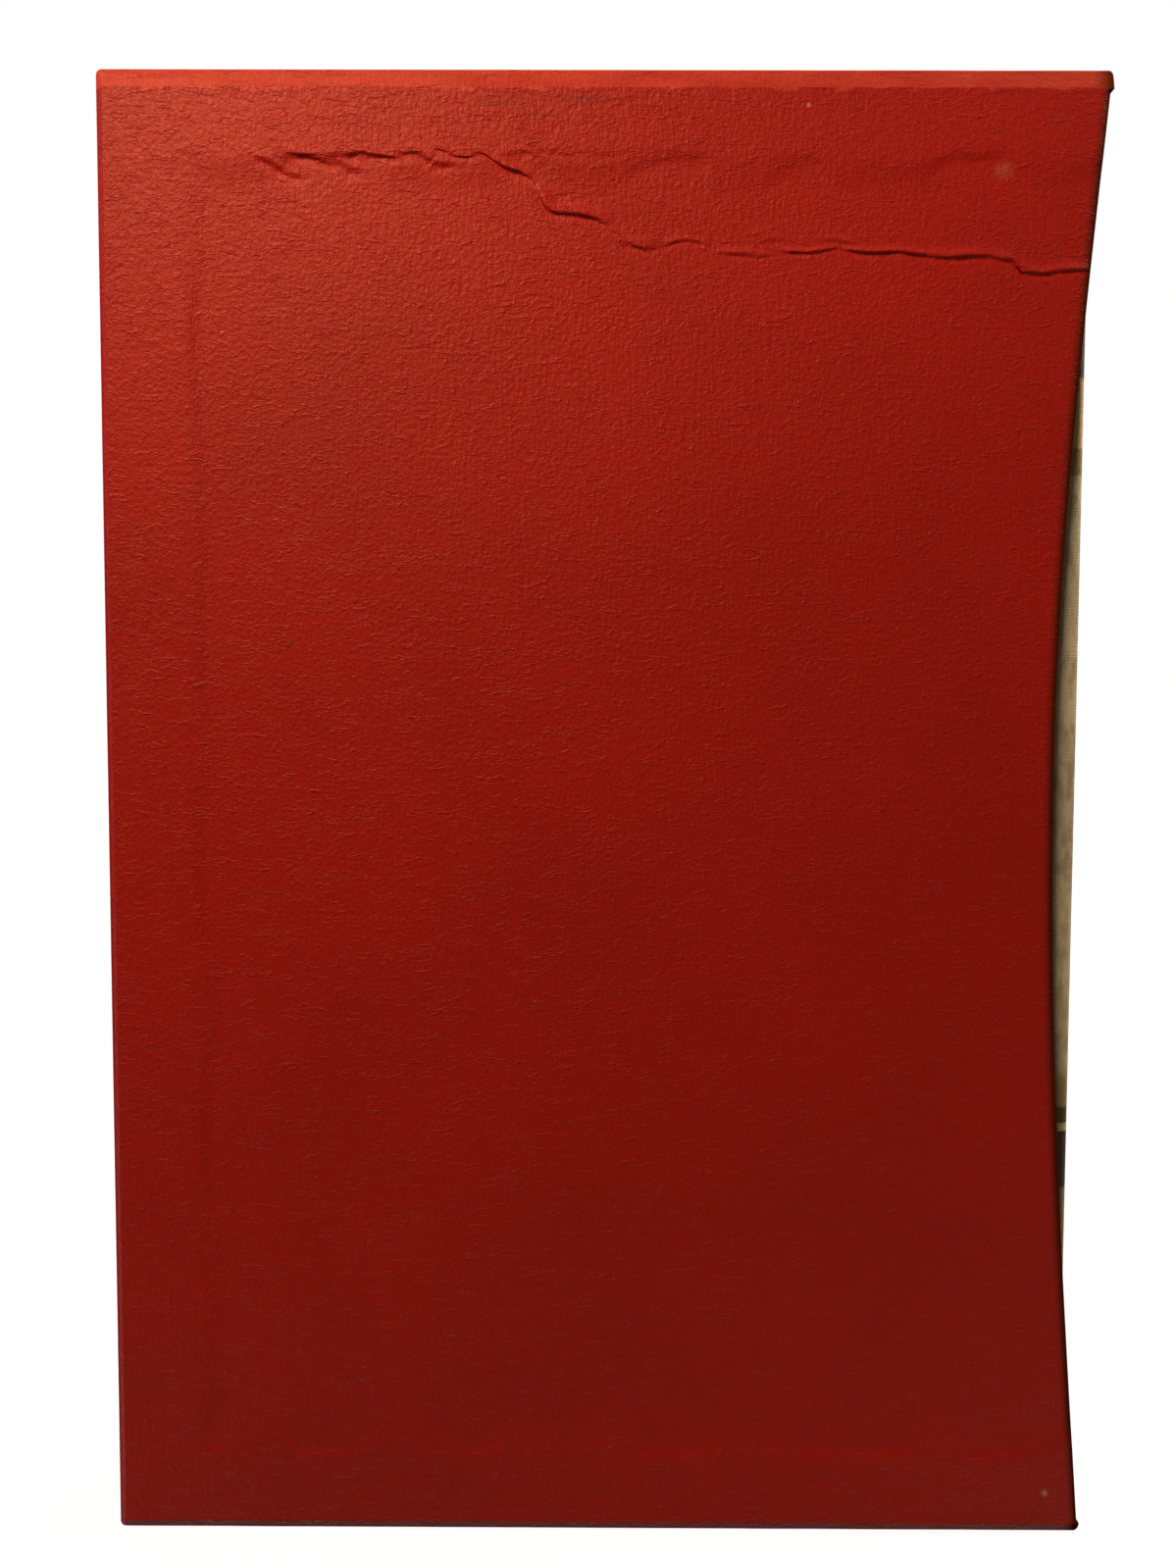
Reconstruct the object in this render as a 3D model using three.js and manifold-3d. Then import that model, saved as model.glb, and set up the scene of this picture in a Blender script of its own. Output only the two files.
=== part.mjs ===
import * as THREE from "three";
import { mergeVertices } from "three/addons/utils/BufferGeometryUtils.js";
import Module from "manifold-3d";

// A case-bound book in its paper-covered slipcase, in millimetres, standing on its tail.
// +Z is up, +X points out of the mouth of the case and -Y is its front side.
// The origin is the middle of the foot.

// Slipcase, over all
const CASE_WIDTH = 165; // closed end to mouth
const CASE_THICKNESS = 34; // front side to back side
const CASE_HEIGHT = 244; // foot to head
const CASE_BOARD = 2.5; // board of the sides, head, tail and closed end
const CASE_PAPER = 0.35; // paper that covers the case

// Slipcase covering
const LAP = 13.5; // how far the wrap strip turns over on to each side
const LAP_RAMP = 0.8; // run over which a side sheet steps down off that turn-over
const HEAD_MARGIN = 3.4; // wrap strip left showing round a side sheet
const END_MARGIN = 1.5;
const TAIL_MARGIN = 2;
const EDGE_FALL = 0.9; // how far a side falls away across those margins
const END_CORNER_RADIUS = 1; // corners of the closed end
const TURN_IN = 12; // covering turned in round the mouth

// Slipcase mouth
const THUMB_DEPTH = 6.9; // shallow curve cut into the mouth edge of each side
const THUMB_RISE = 9; // its deepest point above the middle of the case
const THUMB_SWEEP = 1.8; // radians of a cosine that its curve follows out to a corner
const PANEL_NOSE = 0.5; // head and tail panels stand this far past the corners of the sides
const MOUTH_ROUNDING = 1.3; // rounding of every covered edge at the mouth

// Creases in the front sheet: each point is measured in from the mouth and down from the head
const CREASE_WIDTH = 1.3;
const CREASE_END_WIDTH = 0.3;
const MAIN_CREASE = [
  [107.7, 13.3], [103.4, 13.6], [100.5, 14.3], [97.3, 15.7], [94.1, 17.3], [91.6, 21], [90, 22.2],
  [86.1, 22.6], [82.6, 23.8], [80.1, 25.1], [78.1, 26.6], [74.6, 27.4], [70.1, 26.8], [66.6, 27.5],
  [57.3, 29.7], [50.6, 29.1], [44.6, 27.8], [36.6, 28.7], [27, 30.3], [20.6, 29.8], [15.8, 30.1],
  [13.4, 32], [11, 32.4], [7, 31.6], [4.6, 31.6],
];
const SHORT_CREASES = [
  [[140.3, 14], [137.5, 14.6], [132.4, 16.8]],
  [[132.4, 13.8], [128.4, 14.2], [125.2, 15.6]],
  [[127.6, 13.3], [122.8, 14.4], [118.8, 14]],
  [[114.8, 13.2], [111.6, 14.2], [108.5, 14.8]],
];

// Book
const SIDE_CLEARANCE = 0.35; // book to the covering turned in at the mouth
const FOOT_CLEARANCE = 0.3; // book to the tail panel that it stands on
const HEAD_CLEARANCE = 0.7; // book to the head panel
const FORE_EDGE_CLEARANCE = 0.8; // book to the closed end
const CREST_INSET = 0.1; // middle of the spine, in from the noses of the panels
const COVERING = 0.4; // tan covering of the book
const COVER_BOARD = 2.5;
const COVER_TURN_IN = 15; // covering turned in over the inside of each board
const SQUARE = 3; // boards past the leaves at head, tail and fore edge
const JOINT_WIDTH = 7; // groove between a board and the spine
const JOINT_DEPTH = 1.6;
const SHOULDER_WIDTH = 3.4; // flat of the covering between that groove and the spine
const SHOULDER_ROUNDING = 1.6;
const SPINE_ROUND = 2.7; // crest of the spine past its shoulders
const SPINE_CARD = 0.8; // card strip behind the covering of the spine
const SPINE_LINING = 0.4; // paper glued down the backs of the leaves
const HOLLOW = 0.4; // loose gap between the lining and the card
const PASTEDOWN = 0.2;
const PASTEDOWN_MARGIN = 3.5; // covering left showing round a pastedown
const LEAF_CLEARANCE = 0.3; // pastedown to the first leaf
const FORE_EDGE_HOLLOW = 2.6; // how far the fore edge of the leaves curves in
const BAND_WIDTH = 1.6; // head and tail bands
const BAND_HEIGHT = 2;
const BAND_END_INSET = 0.6;

// Fineness and fits
const FIT_GAP = 0.3; // rounded or sloping faces keep this much apart
const ROUNDING_STEPS = 3;
const CORNER_STEPS = 4;
const MOUTH_STEPS = 24;
const SPINE_STEPS = 20;
const JOINT_STEPS = 8;
const MERGE_DISTANCE = 1e-4;
const CUT = 1; // how far a cutting solid runs past what it cuts

// Places worked out from the sizes
const caseEnd = -CASE_WIDTH / 2;
const nose = CASE_WIDTH / 2;
const sideCorner = nose - PANEL_NOSE;
const sheetFace = CASE_THICKNESS / 2; // distances from the middle plane of the case
const wrapFace = sheetFace - CASE_PAPER;
const boardFace = wrapFace - CASE_PAPER;
const boardBack = boardFace - CASE_BOARD;
const sheetBack = boardBack - CASE_PAPER;
const panelSkin = CASE_PAPER + CASE_BOARD; // outside to inside of the head, tail and end panels
const thumbHeight = CASE_HEIGHT / 2 + THUMB_RISE;

const bookHalf = sheetBack - SIDE_CLEARANCE;
const bookFoot = panelSkin + CASE_PAPER + FOOT_CLEARANCE;
const bookHead = CASE_HEIGHT - panelSkin - CASE_PAPER - HEAD_CLEARANCE;
const foreEdge = caseEnd + panelSkin + FORE_EDGE_CLEARANCE;
const crest = nose - CREST_INSET;
const shoulder = crest - SPINE_ROUND;
const boardSpineEdge = shoulder - SHOULDER_WIDTH - JOINT_WIDTH;
const coverInner = bookHalf - 2 * COVERING - COVER_BOARD; // inside of a covered board
const leafHalf = coverInner - PASTEDOWN - LEAF_CLEARANCE;
const leafFoot = bookFoot + SQUARE;
const leafHead = bookHead - SQUARE;
const leafCrest = crest - COVERING - SPINE_CARD - HOLLOW - SPINE_LINING;

const wasm = await Module();
wasm.setup();

// Gives a closed geometry as a solid that can be joined and cut.
function solidOf(geometry) {
  const plain = geometry.clone();
  plain.deleteAttribute("normal");
  plain.deleteAttribute("uv");
  const merged = mergeVertices(plain, MERGE_DISTANCE);
  return new wasm.Manifold(new wasm.Mesh({
    numProp: 3,
    vertProperties: new Float32Array(merged.attributes.position.array),
    triVerts: new Uint32Array(merged.index.array),
  }));
}

// Gives a solid back as a geometry.
function geometryOf(solid) {
  const mesh = solid.getMesh();
  const geometry = new THREE.BufferGeometry();
  geometry.setAttribute("position", new THREE.BufferAttribute(mesh.vertProperties, 3));
  geometry.setIndex(new THREE.BufferAttribute(mesh.triVerts, 1));
  geometry.computeVertexNormals();
  return geometry;
}

function subtractAll(geometry, cutters) {
  return cutters.reduce((solid, cutter) => solid.subtract(solidOf(cutter)), solidOf(geometry));
}

// A block between two values on each axis.
function block([x0, x1], [y0, y1], [z0, z1]) {
  return new THREE.BoxGeometry(Math.abs(x1 - x0), Math.abs(y1 - y0), Math.abs(z1 - z0))
    .translate((x0 + x1) / 2, (y0 + y1) / 2, (z0 + z1) / 2);
}

// A flat outline in X and Z, run from one Y to another.
function alongY(points, y0, y1) {
  const low = Math.min(y0, y1);
  const high = Math.max(y0, y1);
  return new THREE.ExtrudeGeometry(new THREE.Shape(points), { depth: high - low, bevelEnabled: false })
    .rotateX(Math.PI / 2)
    .translate(0, high, 0);
}

// A flat outline in X and Y, run from one Z to another.
function alongZ(points, z0, z1) {
  return new THREE.ExtrudeGeometry(new THREE.Shape(points), { depth: z1 - z0, bevelEnabled: false })
    .translate(0, 0, z0);
}

// Skins a stack of outlines in X and Z, each at its own Y, and closes both ends.
function loft(levels) {
  const stack = [...levels].sort((a, b) => a.y - b.y);
  const count = stack[0].points.length;
  const vertices = stack.flatMap(({ y, points }) => points.flatMap((p) => [p.x, y, p.y]));
  const faces = [];
  for (let level = 0; level + 1 < stack.length; level += 1) {
    for (let i = 0; i < count; i += 1) {
      const near = level * count + i;
      const nearNext = level * count + (i + 1) % count;
      faces.push(near, near + count, nearNext);
      faces.push(nearNext, near + count, nearNext + count);
    }
  }
  const last = (stack.length - 1) * count;
  THREE.ShapeUtils.triangulateShape(stack[0].points, []).forEach(([a, b, c]) => {
    faces.push(a, b, c);
  });
  THREE.ShapeUtils.triangulateShape(stack[stack.length - 1].points, []).forEach(([a, b, c]) => {
    faces.push(last + c, last + b, last + a);
  });
  const geometry = new THREE.BufferGeometry();
  geometry.setAttribute("position", new THREE.Float32BufferAttribute(vertices, 3));
  geometry.setIndex(faces);
  return geometry;
}

function arc(centreX, centreY, radius, from, to, steps) {
  return Array.from({ length: steps + 1 }, (_, i) => {
    const angle = from + (to - from) * i / steps;
    return new THREE.Vector2(centreX + radius * Math.cos(angle), centreY + radius * Math.sin(angle));
  });
}

// Where the covered mouth edge of a side lies at a height.
function mouthAt(z) {
  const reach = z > thumbHeight ? CASE_HEIGHT - thumbHeight : thumbHeight;
  const turn = THUMB_SWEEP * Math.abs(z - thumbHeight) / reach;
  const share = (1 - Math.cos(turn)) / (1 - Math.cos(THUMB_SWEEP));
  return sideCorner - THUMB_DEPTH * (1 - share);
}

// The outline of a side in X and Z, round corners at the closed end and any edge at the mouth.
function sideOutline(end, tail, head, radius, mouth) {
  const points = arc(end + radius, tail + radius, radius, Math.PI, 1.5 * Math.PI, CORNER_STEPS);
  for (let i = 0; i <= MOUTH_STEPS; i += 1) {
    const z = tail + (head - tail) * i / MOUTH_STEPS;
    points.push(new THREE.Vector2(mouth(z), z));
  }
  points.push(...arc(end + radius, head - radius, radius, Math.PI / 2, Math.PI, CORNER_STEPS));
  return points;
}

// How deep each level of a rounded edge lies under its face, and how far the edge draws back there.
function rounding(radius) {
  return Array.from({ length: ROUNDING_STEPS + 1 }, (_, i) => {
    const angle = i / ROUNDING_STEPS * Math.PI / 2;
    return { depth: radius * (1 - Math.cos(angle)), back: radius * (1 - Math.sin(angle)) };
  });
}

// A side plate between two distances from the middle plane, its mouth edge rounded on both faces.
function sidePlate(side, face, back, outlineAt, radius) {
  const turns = rounding(radius);
  const outward = turns.map((turn) => ({ y: face - turn.depth, set: turn.back, depth: turn.depth }));
  const inward = turns.map((turn) => ({ y: back + turn.depth, set: turn.back, depth: face - back }));
  return loft([...outward, ...inward.reverse()].map(({ y, set, depth }) => ({
    y: side * y,
    points: outlineAt(set, depth),
  })));
}

// The block inside a skin of the wrapped case: its long edges fall away across the margins.
function wrappedBlock(skin) {
  const face = wrapFace - skin;
  const levelAt = (y, share) => ({
    y,
    points: sideOutline(
      caseEnd + skin + share * END_MARGIN,
      skin + share * TAIL_MARGIN,
      CASE_HEIGHT - skin - share * HEAD_MARGIN,
      END_CORNER_RADIUS - skin,
      () => sideCorner - skin,
    ),
  });
  return loft([
    levelAt(-face, 1),
    levelAt(-face + EDGE_FALL, 0),
    levelAt(face - EDGE_FALL, 0),
    levelAt(face, 1),
  ]);
}

// Covering that runs out along a head or tail panel, round its nose and back along the inside.
function panelHook(heightAt) {
  const inner = MOUTH_ROUNDING - CASE_PAPER;
  const at = (x, depth) => new THREE.Vector2(x, heightAt(depth));
  const bend = (radius, depth, from, to) => arc(nose - MOUTH_ROUNDING, depth, radius, from, to, CORNER_STEPS)
    .map((p) => at(p.x, p.y));
  const full = panelSkin + CASE_PAPER;
  return alongY([
    at(nose - TURN_IN - CUT, 0),
    ...bend(MOUTH_ROUNDING, MOUTH_ROUNDING, -Math.PI / 2, 0),
    ...bend(MOUTH_ROUNDING, full - MOUTH_ROUNDING, 0, Math.PI / 2),
    at(nose - TURN_IN, full),
    at(nose - TURN_IN, panelSkin),
    ...bend(inner, full - MOUTH_ROUNDING, Math.PI / 2, 0),
    ...bend(inner, MOUTH_ROUNDING, 0, -Math.PI / 2),
    at(nose - TURN_IN - CUT, CASE_PAPER),
  ], -boardBack, boardBack);
}

// One strip round head, closed end and tail, turned over on to both sides and in at the mouth.
function wrapStrip() {
  const wide = CASE_WIDTH;
  const high = CASE_HEIGHT;
  const window = block([caseEnd + LAP, wide], [-wide, wide], [LAP, high - LAP]);
  const insideMouth = block([nose - TURN_IN, wide], [-boardBack, boardBack], [-CUT, high + CUT]);
  const top = high - HEAD_MARGIN;
  const beyondFlaps = [new THREE.Vector2(wide, TAIL_MARGIN), new THREE.Vector2(wide, top)];
  for (let i = MOUTH_STEPS; i >= 0; i -= 1) {
    const z = TAIL_MARGIN + (top - TAIL_MARGIN) * i / MOUTH_STEPS;
    beyondFlaps.push(new THREE.Vector2(mouthAt(z) - MOUTH_ROUNDING - FIT_GAP, z));
  }
  const shell = subtractAll(wrappedBlock(0), [
    wrappedBlock(CASE_PAPER),
    window,
    insideMouth,
    alongY(beyondFlaps, -wide, wide),
  ]);
  return geometryOf(shell
    .add(solidOf(panelHook((depth) => high - depth)))
    .add(solidOf(panelHook((depth) => depth))));
}

// Head or tail board, between the sides, its nose eased to sit inside the covering.
function panelBoard(heightAt) {
  const ease = MOUTH_ROUNDING;
  const at = (x, depth) => new THREE.Vector2(x, heightAt(depth));
  return alongY([
    at(caseEnd + panelSkin, CASE_PAPER),
    at(nose - CASE_PAPER - ease, CASE_PAPER),
    at(nose - CASE_PAPER, MOUTH_ROUNDING),
    at(nose - CASE_PAPER, panelSkin + CASE_PAPER - MOUTH_ROUNDING),
    at(nose - CASE_PAPER - ease, panelSkin),
    at(caseEnd + panelSkin, panelSkin),
  ], -boardBack, boardBack);
}

// Board of the closed end, between the sides, its outer corners eased.
function endBoard() {
  const outside = caseEnd + CASE_PAPER;
  const ease = END_CORNER_RADIUS;
  return alongY([
    [outside + ease, CASE_PAPER],
    [caseEnd + panelSkin, CASE_PAPER],
    [caseEnd + panelSkin, CASE_HEIGHT - CASE_PAPER],
    [outside + ease, CASE_HEIGHT - CASE_PAPER],
    [outside, CASE_HEIGHT - CASE_PAPER - ease],
    [outside, CASE_PAPER + ease],
  ].map(([x, z]) => new THREE.Vector2(x, z)), -boardBack, boardBack);
}

// Side board: its long edges fall away, and its mouth edge carries the shallow curve.
function sideBoard(side) {
  const outlineAt = (set, depth) => {
    const share = Math.max(0, 1 - depth / EDGE_FALL);
    const ease = depth < EDGE_FALL ? FIT_GAP : 0;
    return sideOutline(
      caseEnd + CASE_PAPER + share * END_MARGIN + ease,
      CASE_PAPER + share * TAIL_MARGIN + ease,
      CASE_HEIGHT - CASE_PAPER - share * HEAD_MARGIN - ease,
      END_CORNER_RADIUS,
      (z) => mouthAt(z) - CASE_PAPER - FIT_GAP - set,
    );
  };
  return sidePlate(side, boardFace, boardBack, outlineAt, MOUTH_ROUNDING - CASE_PAPER);
}

// A low ridge of buckled paper along a line of points, standing on the sunk middle of the sheet.
function creaseRidge(points) {
  const line = points.map(([inward, down]) => new THREE.Vector2(sideCorner - inward, CASE_HEIGHT - down));
  const left = [];
  const right = [];
  line.forEach((point, i) => {
    const before = line[Math.max(0, i - 1)];
    const after = line[Math.min(line.length - 1, i + 1)];
    const along = after.clone().sub(before).normalize();
    const across = new THREE.Vector2(-along.y, along.x);
    const atEnd = i === 0 || i === line.length - 1;
    across.multiplyScalar((atEnd ? CREASE_END_WIDTH : CREASE_WIDTH) / 2);
    left.push(point.clone().add(across));
    right.unshift(point.clone().sub(across));
  });
  return alongY([...left, ...right], -sheetFace, -boardFace);
}

// Side sheet: lies over the turned-over strip and the bare board, and turns in round the mouth edge.
function sideSheet(side, creases) {
  const far = CASE_WIDTH;
  const high = CASE_HEIGHT;
  const outline = (grow, edge) => (set) => sideOutline(
    caseEnd + END_MARGIN - grow,
    TAIL_MARGIN - grow,
    high - HEAD_MARGIN + grow,
    END_CORNER_RADIUS,
    (z) => mouthAt(z) - edge - set,
  );
  const skin = sidePlate(side, sheetFace, sheetBack, outline(0, 0), MOUTH_ROUNDING);
  const boardRoom = sidePlate(
    side, boardFace, boardBack, outline(CUT, CASE_PAPER), MOUTH_ROUNDING - CASE_PAPER,
  );
  const insideRoom = [side * boardBack, side * (sheetBack - CUT)];
  const clearOfPanel = panelSkin + CASE_PAPER + FIT_GAP;
  const turnInEdge = mouthAt(thumbHeight) - MOUTH_ROUNDING - TURN_IN;
  const window = (grow) => sideOutline(
    caseEnd + LAP + grow, LAP + grow, high - LAP - grow, END_CORNER_RADIUS, () => far,
  );
  const lapRoom = solidOf(alongY(
    sideOutline(-far, -CUT, high + CUT, END_CORNER_RADIUS, (z) => mouthAt(z) - MOUTH_ROUNDING),
    side * wrapFace,
    side * boardFace,
  )).subtract(solidOf(block([caseEnd + LAP, far], [-far, far], [LAP, high - LAP])));
  const sunkMiddle = loft([
    { y: side * (sheetFace + CUT), points: window(-LAP_RAMP * CUT / CASE_PAPER) },
    { y: side * wrapFace, points: window(LAP_RAMP) },
  ]);
  const creased = creases.reduce(
    (solid, crease) => solid.add(solidOf(creaseRidge(crease))),
    subtractAll(skin, [sunkMiddle]),
  );
  return geometryOf(subtractAll(geometryOf(creased.subtract(lapRoom)), [
    boardRoom,
    block([-far, turnInEdge], insideRoom, [-CUT, high + CUT]),
    block([-far, far], insideRoom, [-CUT, clearOfPanel]),
    block([-far, far], insideRoom, [high - clearOfPanel, high + CUT]),
  ]));
}

// Half thickness of the spine and joint at a distance inside the outer face of the covering.
function spineArc(inset, halfWidth, crestX, steps) {
  const radius = (bookHalf * bookHalf + SPINE_ROUND * SPINE_ROUND) / (2 * SPINE_ROUND) - inset;
  const centre = crestX - radius;
  const limit = Math.asin(halfWidth / radius);
  return arc(centre, 0, radius, -limit, limit, steps);
}

// The covering from one board to the other: joint groove, shoulder, spine, shoulder and groove.
function spineSection(inset) {
  const half = bookHalf - inset;
  const front = [new THREE.Vector2(boardSpineEdge - COVER_TURN_IN, -half)];
  for (let i = 0; i <= JOINT_STEPS; i += 1) {
    const share = i / JOINT_STEPS;
    const dip = JOINT_DEPTH * (1 - Math.cos(2 * Math.PI * share)) / 2;
    front.push(new THREE.Vector2(boardSpineEdge + JOINT_WIDTH * share, -half + dip));
  }
  const back = front.map((p) => new THREE.Vector2(p.x, -p.y)).reverse();
  const crown = spineArc(inset, half - SHOULDER_ROUNDING, crest - inset, SPINE_STEPS);
  const startX = crown[0].x - SHOULDER_ROUNDING;
  const easing = new THREE.QuadraticBezierCurve(
    new THREE.Vector2(startX, -half),
    new THREE.Vector2(crown[0].x - SHOULDER_ROUNDING / 4, -half),
    crown[0],
  ).getPoints(CORNER_STEPS).slice(0, -1);
  const easingBack = easing.map((p) => new THREE.Vector2(p.x, -p.y)).reverse();
  return [...front, ...easing, ...crown, ...easingBack, ...back];
}

// Tan covering, one piece: spine and joints, and each board wrapped with its edges turned in.
function bookCovering() {
  const band = [...spineSection(0), ...spineSection(COVERING).reverse()];
  const tall = [bookFoot, bookHead];
  let body = solidOf(alongZ(band, ...tall));
  [-1, 1].forEach((side) => {
    const outside = side * bookHalf;
    const boardRoom = [side * (bookHalf - COVERING), side * (coverInner + COVERING)];
    const wrapped = subtractAll(block([foreEdge, boardSpineEdge], [outside, side * coverInner], tall), [
      block(
        [foreEdge + COVERING, boardSpineEdge + CUT],
        boardRoom,
        [bookFoot + COVERING, bookHead - COVERING],
      ),
      block(
        [foreEdge + COVER_TURN_IN, boardSpineEdge + CUT],
        [side * (coverInner + CUT), side * (coverInner - CUT)],
        [bookFoot + COVER_TURN_IN, bookHead - COVER_TURN_IN],
      ),
    ]);
    body = body.add(wrapped);
  });
  return geometryOf(body);
}

function coverBoard(side) {
  return block(
    [foreEdge + COVERING, boardSpineEdge],
    [side * (bookHalf - COVERING), side * (coverInner + COVERING)],
    [bookFoot + COVERING, bookHead - COVERING],
  );
}

// Paper pasted over the inside of a board and the edges of its turned-in covering.
function pastedown(side) {
  const sheet = block(
    [foreEdge + PASTEDOWN_MARGIN, boardSpineEdge],
    [side * coverInner, side * (coverInner - PASTEDOWN)],
    [bookFoot + PASTEDOWN_MARGIN, bookHead - PASTEDOWN_MARGIN],
  );
  const sunk = block(
    [foreEdge + COVER_TURN_IN, boardSpineEdge],
    [side * (coverInner + COVERING), side * (coverInner - PASTEDOWN)],
    [bookFoot + COVER_TURN_IN, bookHead - COVER_TURN_IN],
  );
  return geometryOf(solidOf(sheet).add(solidOf(sunk)));
}

// The back of the leaves, rounded like the spine.
function leafBack(inset, halfWidth) {
  return spineArc(crest - leafCrest + inset, halfWidth, leafCrest - inset, SPINE_STEPS);
}

// All the leaves as one block, rounded at the back and hollowed at the fore edge.
function textBlock() {
  const edge = foreEdge + SQUARE;
  const radius = (leafHalf * leafHalf + FORE_EDGE_HOLLOW * FORE_EDGE_HOLLOW) / (2 * FORE_EDGE_HOLLOW);
  const limit = Math.asin(leafHalf / radius);
  const hollow = arc(edge + FORE_EDGE_HOLLOW - radius, 0, radius, limit, -limit, SPINE_STEPS);
  return alongZ([...leafBack(0, leafHalf), ...hollow], leafFoot, leafHead);
}

function spineLining() {
  return alongZ([
    ...leafBack(0, leafHalf),
    ...leafBack(-SPINE_LINING, leafHalf).reverse(),
  ], leafFoot, leafHead);
}

function spineCard() {
  const half = bookHalf - SHOULDER_ROUNDING - COVERING;
  return alongZ([
    ...spineArc(COVERING, half, crest - COVERING, SPINE_STEPS),
    ...spineArc(COVERING + SPINE_CARD, half, crest - COVERING - SPINE_CARD, SPINE_STEPS).reverse(),
  ], bookFoot, bookHead);
}

// A sewn band across the end of the back of the leaves.
function endBand(z0, z1) {
  return alongZ([
    ...leafBack(0, leafHalf - BAND_END_INSET),
    ...leafBack(BAND_WIDTH, leafHalf - BAND_END_INSET).reverse(),
  ], z0, z1);
}

const finishes = {
  casePaper: new THREE.MeshStandardMaterial({ color: 0x8c2418, roughness: 0.6, metalness: 0 }),
  board: new THREE.MeshStandardMaterial({ color: 0x9a8b74, roughness: 0.9, metalness: 0 }),
  covering: new THREE.MeshStandardMaterial({ color: 0xa68458, roughness: 0.5, metalness: 0 }),
  leaves: new THREE.MeshStandardMaterial({ color: 0xe6dcc3, roughness: 0.85, metalness: 0 }),
  lining: new THREE.MeshStandardMaterial({ color: 0xb79f78, roughness: 0.9, metalness: 0 }),
  band: new THREE.MeshStandardMaterial({ color: 0xd8cba8, roughness: 0.8, metalness: 0 }),
};

function piece(name, geometry, material) {
  const mesh = new THREE.Mesh(geometry, material);
  mesh.name = name;
  return mesh;
}

const slipcase = new THREE.Group();
slipcase.add(
  piece("case_front_board", sideBoard(-1), finishes.board),
  piece("case_back_board", sideBoard(1), finishes.board),
  piece("case_head_board", panelBoard((depth) => CASE_HEIGHT - depth), finishes.board),
  piece("case_tail_board", panelBoard((depth) => depth), finishes.board),
  piece("case_end_board", endBoard(), finishes.board),
  piece("case_wrap_strip", wrapStrip(), finishes.casePaper),
  piece("case_front_sheet", sideSheet(-1, [MAIN_CREASE, ...SHORT_CREASES]), finishes.casePaper),
  piece("case_back_sheet", sideSheet(1, []), finishes.casePaper),
);

const book = new THREE.Group();
book.add(
  piece("book_covering", bookCovering(), finishes.covering),
  piece("front_cover_board", coverBoard(-1), finishes.board),
  piece("back_cover_board", coverBoard(1), finishes.board),
  piece("spine_card", spineCard(), finishes.board),
  piece("spine_lining", spineLining(), finishes.lining),
  piece("text_block", textBlock(), finishes.leaves),
  piece("head_band", endBand(leafHead, leafHead + BAND_HEIGHT), finishes.band),
  piece("tail_band", endBand(leafFoot - BAND_HEIGHT, leafFoot), finishes.band),
  piece("front_pastedown", pastedown(-1), finishes.leaves),
  piece("back_pastedown", pastedown(1), finishes.leaves),
);

const slipcasedBook = new THREE.Group();
slipcasedBook.add(slipcase, book);

export default slipcasedBook;
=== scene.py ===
"""A tan case-bound book in its red paper-covered slipcase, dressed in its finishes.

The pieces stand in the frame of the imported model: +Z is up, +X points out of the mouth of the case
and -Y is its front side. Sizes are in millimetres until a finished mesh is turned into metres.
"""

from __future__ import annotations

import logging
import math
from collections.abc import Callable, Iterable, Sequence
from dataclasses import dataclass, field
from enum import Enum
from functools import cached_property

import bmesh
import bpy
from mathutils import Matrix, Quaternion, Vector, noise


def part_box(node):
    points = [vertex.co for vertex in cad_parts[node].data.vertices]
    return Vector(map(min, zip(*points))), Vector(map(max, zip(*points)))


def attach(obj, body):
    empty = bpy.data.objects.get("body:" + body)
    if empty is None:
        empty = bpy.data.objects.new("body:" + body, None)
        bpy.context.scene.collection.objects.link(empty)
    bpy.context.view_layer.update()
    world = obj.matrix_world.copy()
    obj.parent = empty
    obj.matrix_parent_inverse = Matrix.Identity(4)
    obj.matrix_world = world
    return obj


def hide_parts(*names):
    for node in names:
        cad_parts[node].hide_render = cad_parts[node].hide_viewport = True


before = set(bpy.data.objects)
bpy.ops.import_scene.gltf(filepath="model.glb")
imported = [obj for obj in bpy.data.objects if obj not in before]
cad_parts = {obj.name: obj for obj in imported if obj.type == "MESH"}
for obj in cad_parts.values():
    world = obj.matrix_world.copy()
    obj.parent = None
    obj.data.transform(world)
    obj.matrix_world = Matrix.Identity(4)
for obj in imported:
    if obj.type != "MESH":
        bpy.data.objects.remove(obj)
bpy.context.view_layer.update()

MILLIMETRE = 0.001
MERGE_DISTANCE = 1e-4
QUARTER_TURN = math.pi / 2
TURNED_EDGE = "turned_edge"

logger = logging.getLogger("slipcased_book")

Colour = tuple[float, float, float]


class Body(Enum):
    """The two bodies that pieces ride on."""

    SLIPCASE = "slipcase"
    BOOK = "book"


class Side(Enum):
    """Which side of the middle plane a piece lies on."""

    FRONT = -1
    BACK = 1


class Slot(Enum):
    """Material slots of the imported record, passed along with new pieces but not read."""

    CASE_PAPER = "case_paper"
    COVERING = "book_covering"


def smooth(share: float) -> float:
    """Eases a share from 0 to 1 with level ends, and holds it outside them."""
    share = min(1.0, max(0.0, share))
    return share * share * (3 - 2 * share)


def between(low: float, high: float, share: float) -> float:
    """Gives the place that lies a share of the way from one value to another."""
    return low + (high - low) * share


def drift(x: float, z: float, waves: tuple[float, float], seed: float) -> float:
    """Gives smooth noise from -1 to 1, with waves of a size, in millimetres, along X and Z."""
    return noise.noise(Vector((x / waves[0], z / waves[1], seed)))


def stations(*bands: tuple[float, float, int]) -> list[float]:
    """Lists evenly spaced places along bands that meet end to end.

    Args:
        bands: The start, end and number of steps of each band.

    Returns:
        Every place from the first start to the last end.
    """
    places = [bands[0][0]]
    for start, end, count in bands:
        places += [between(start, end, step / count) for step in range(1, count + 1)]
    return places


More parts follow.
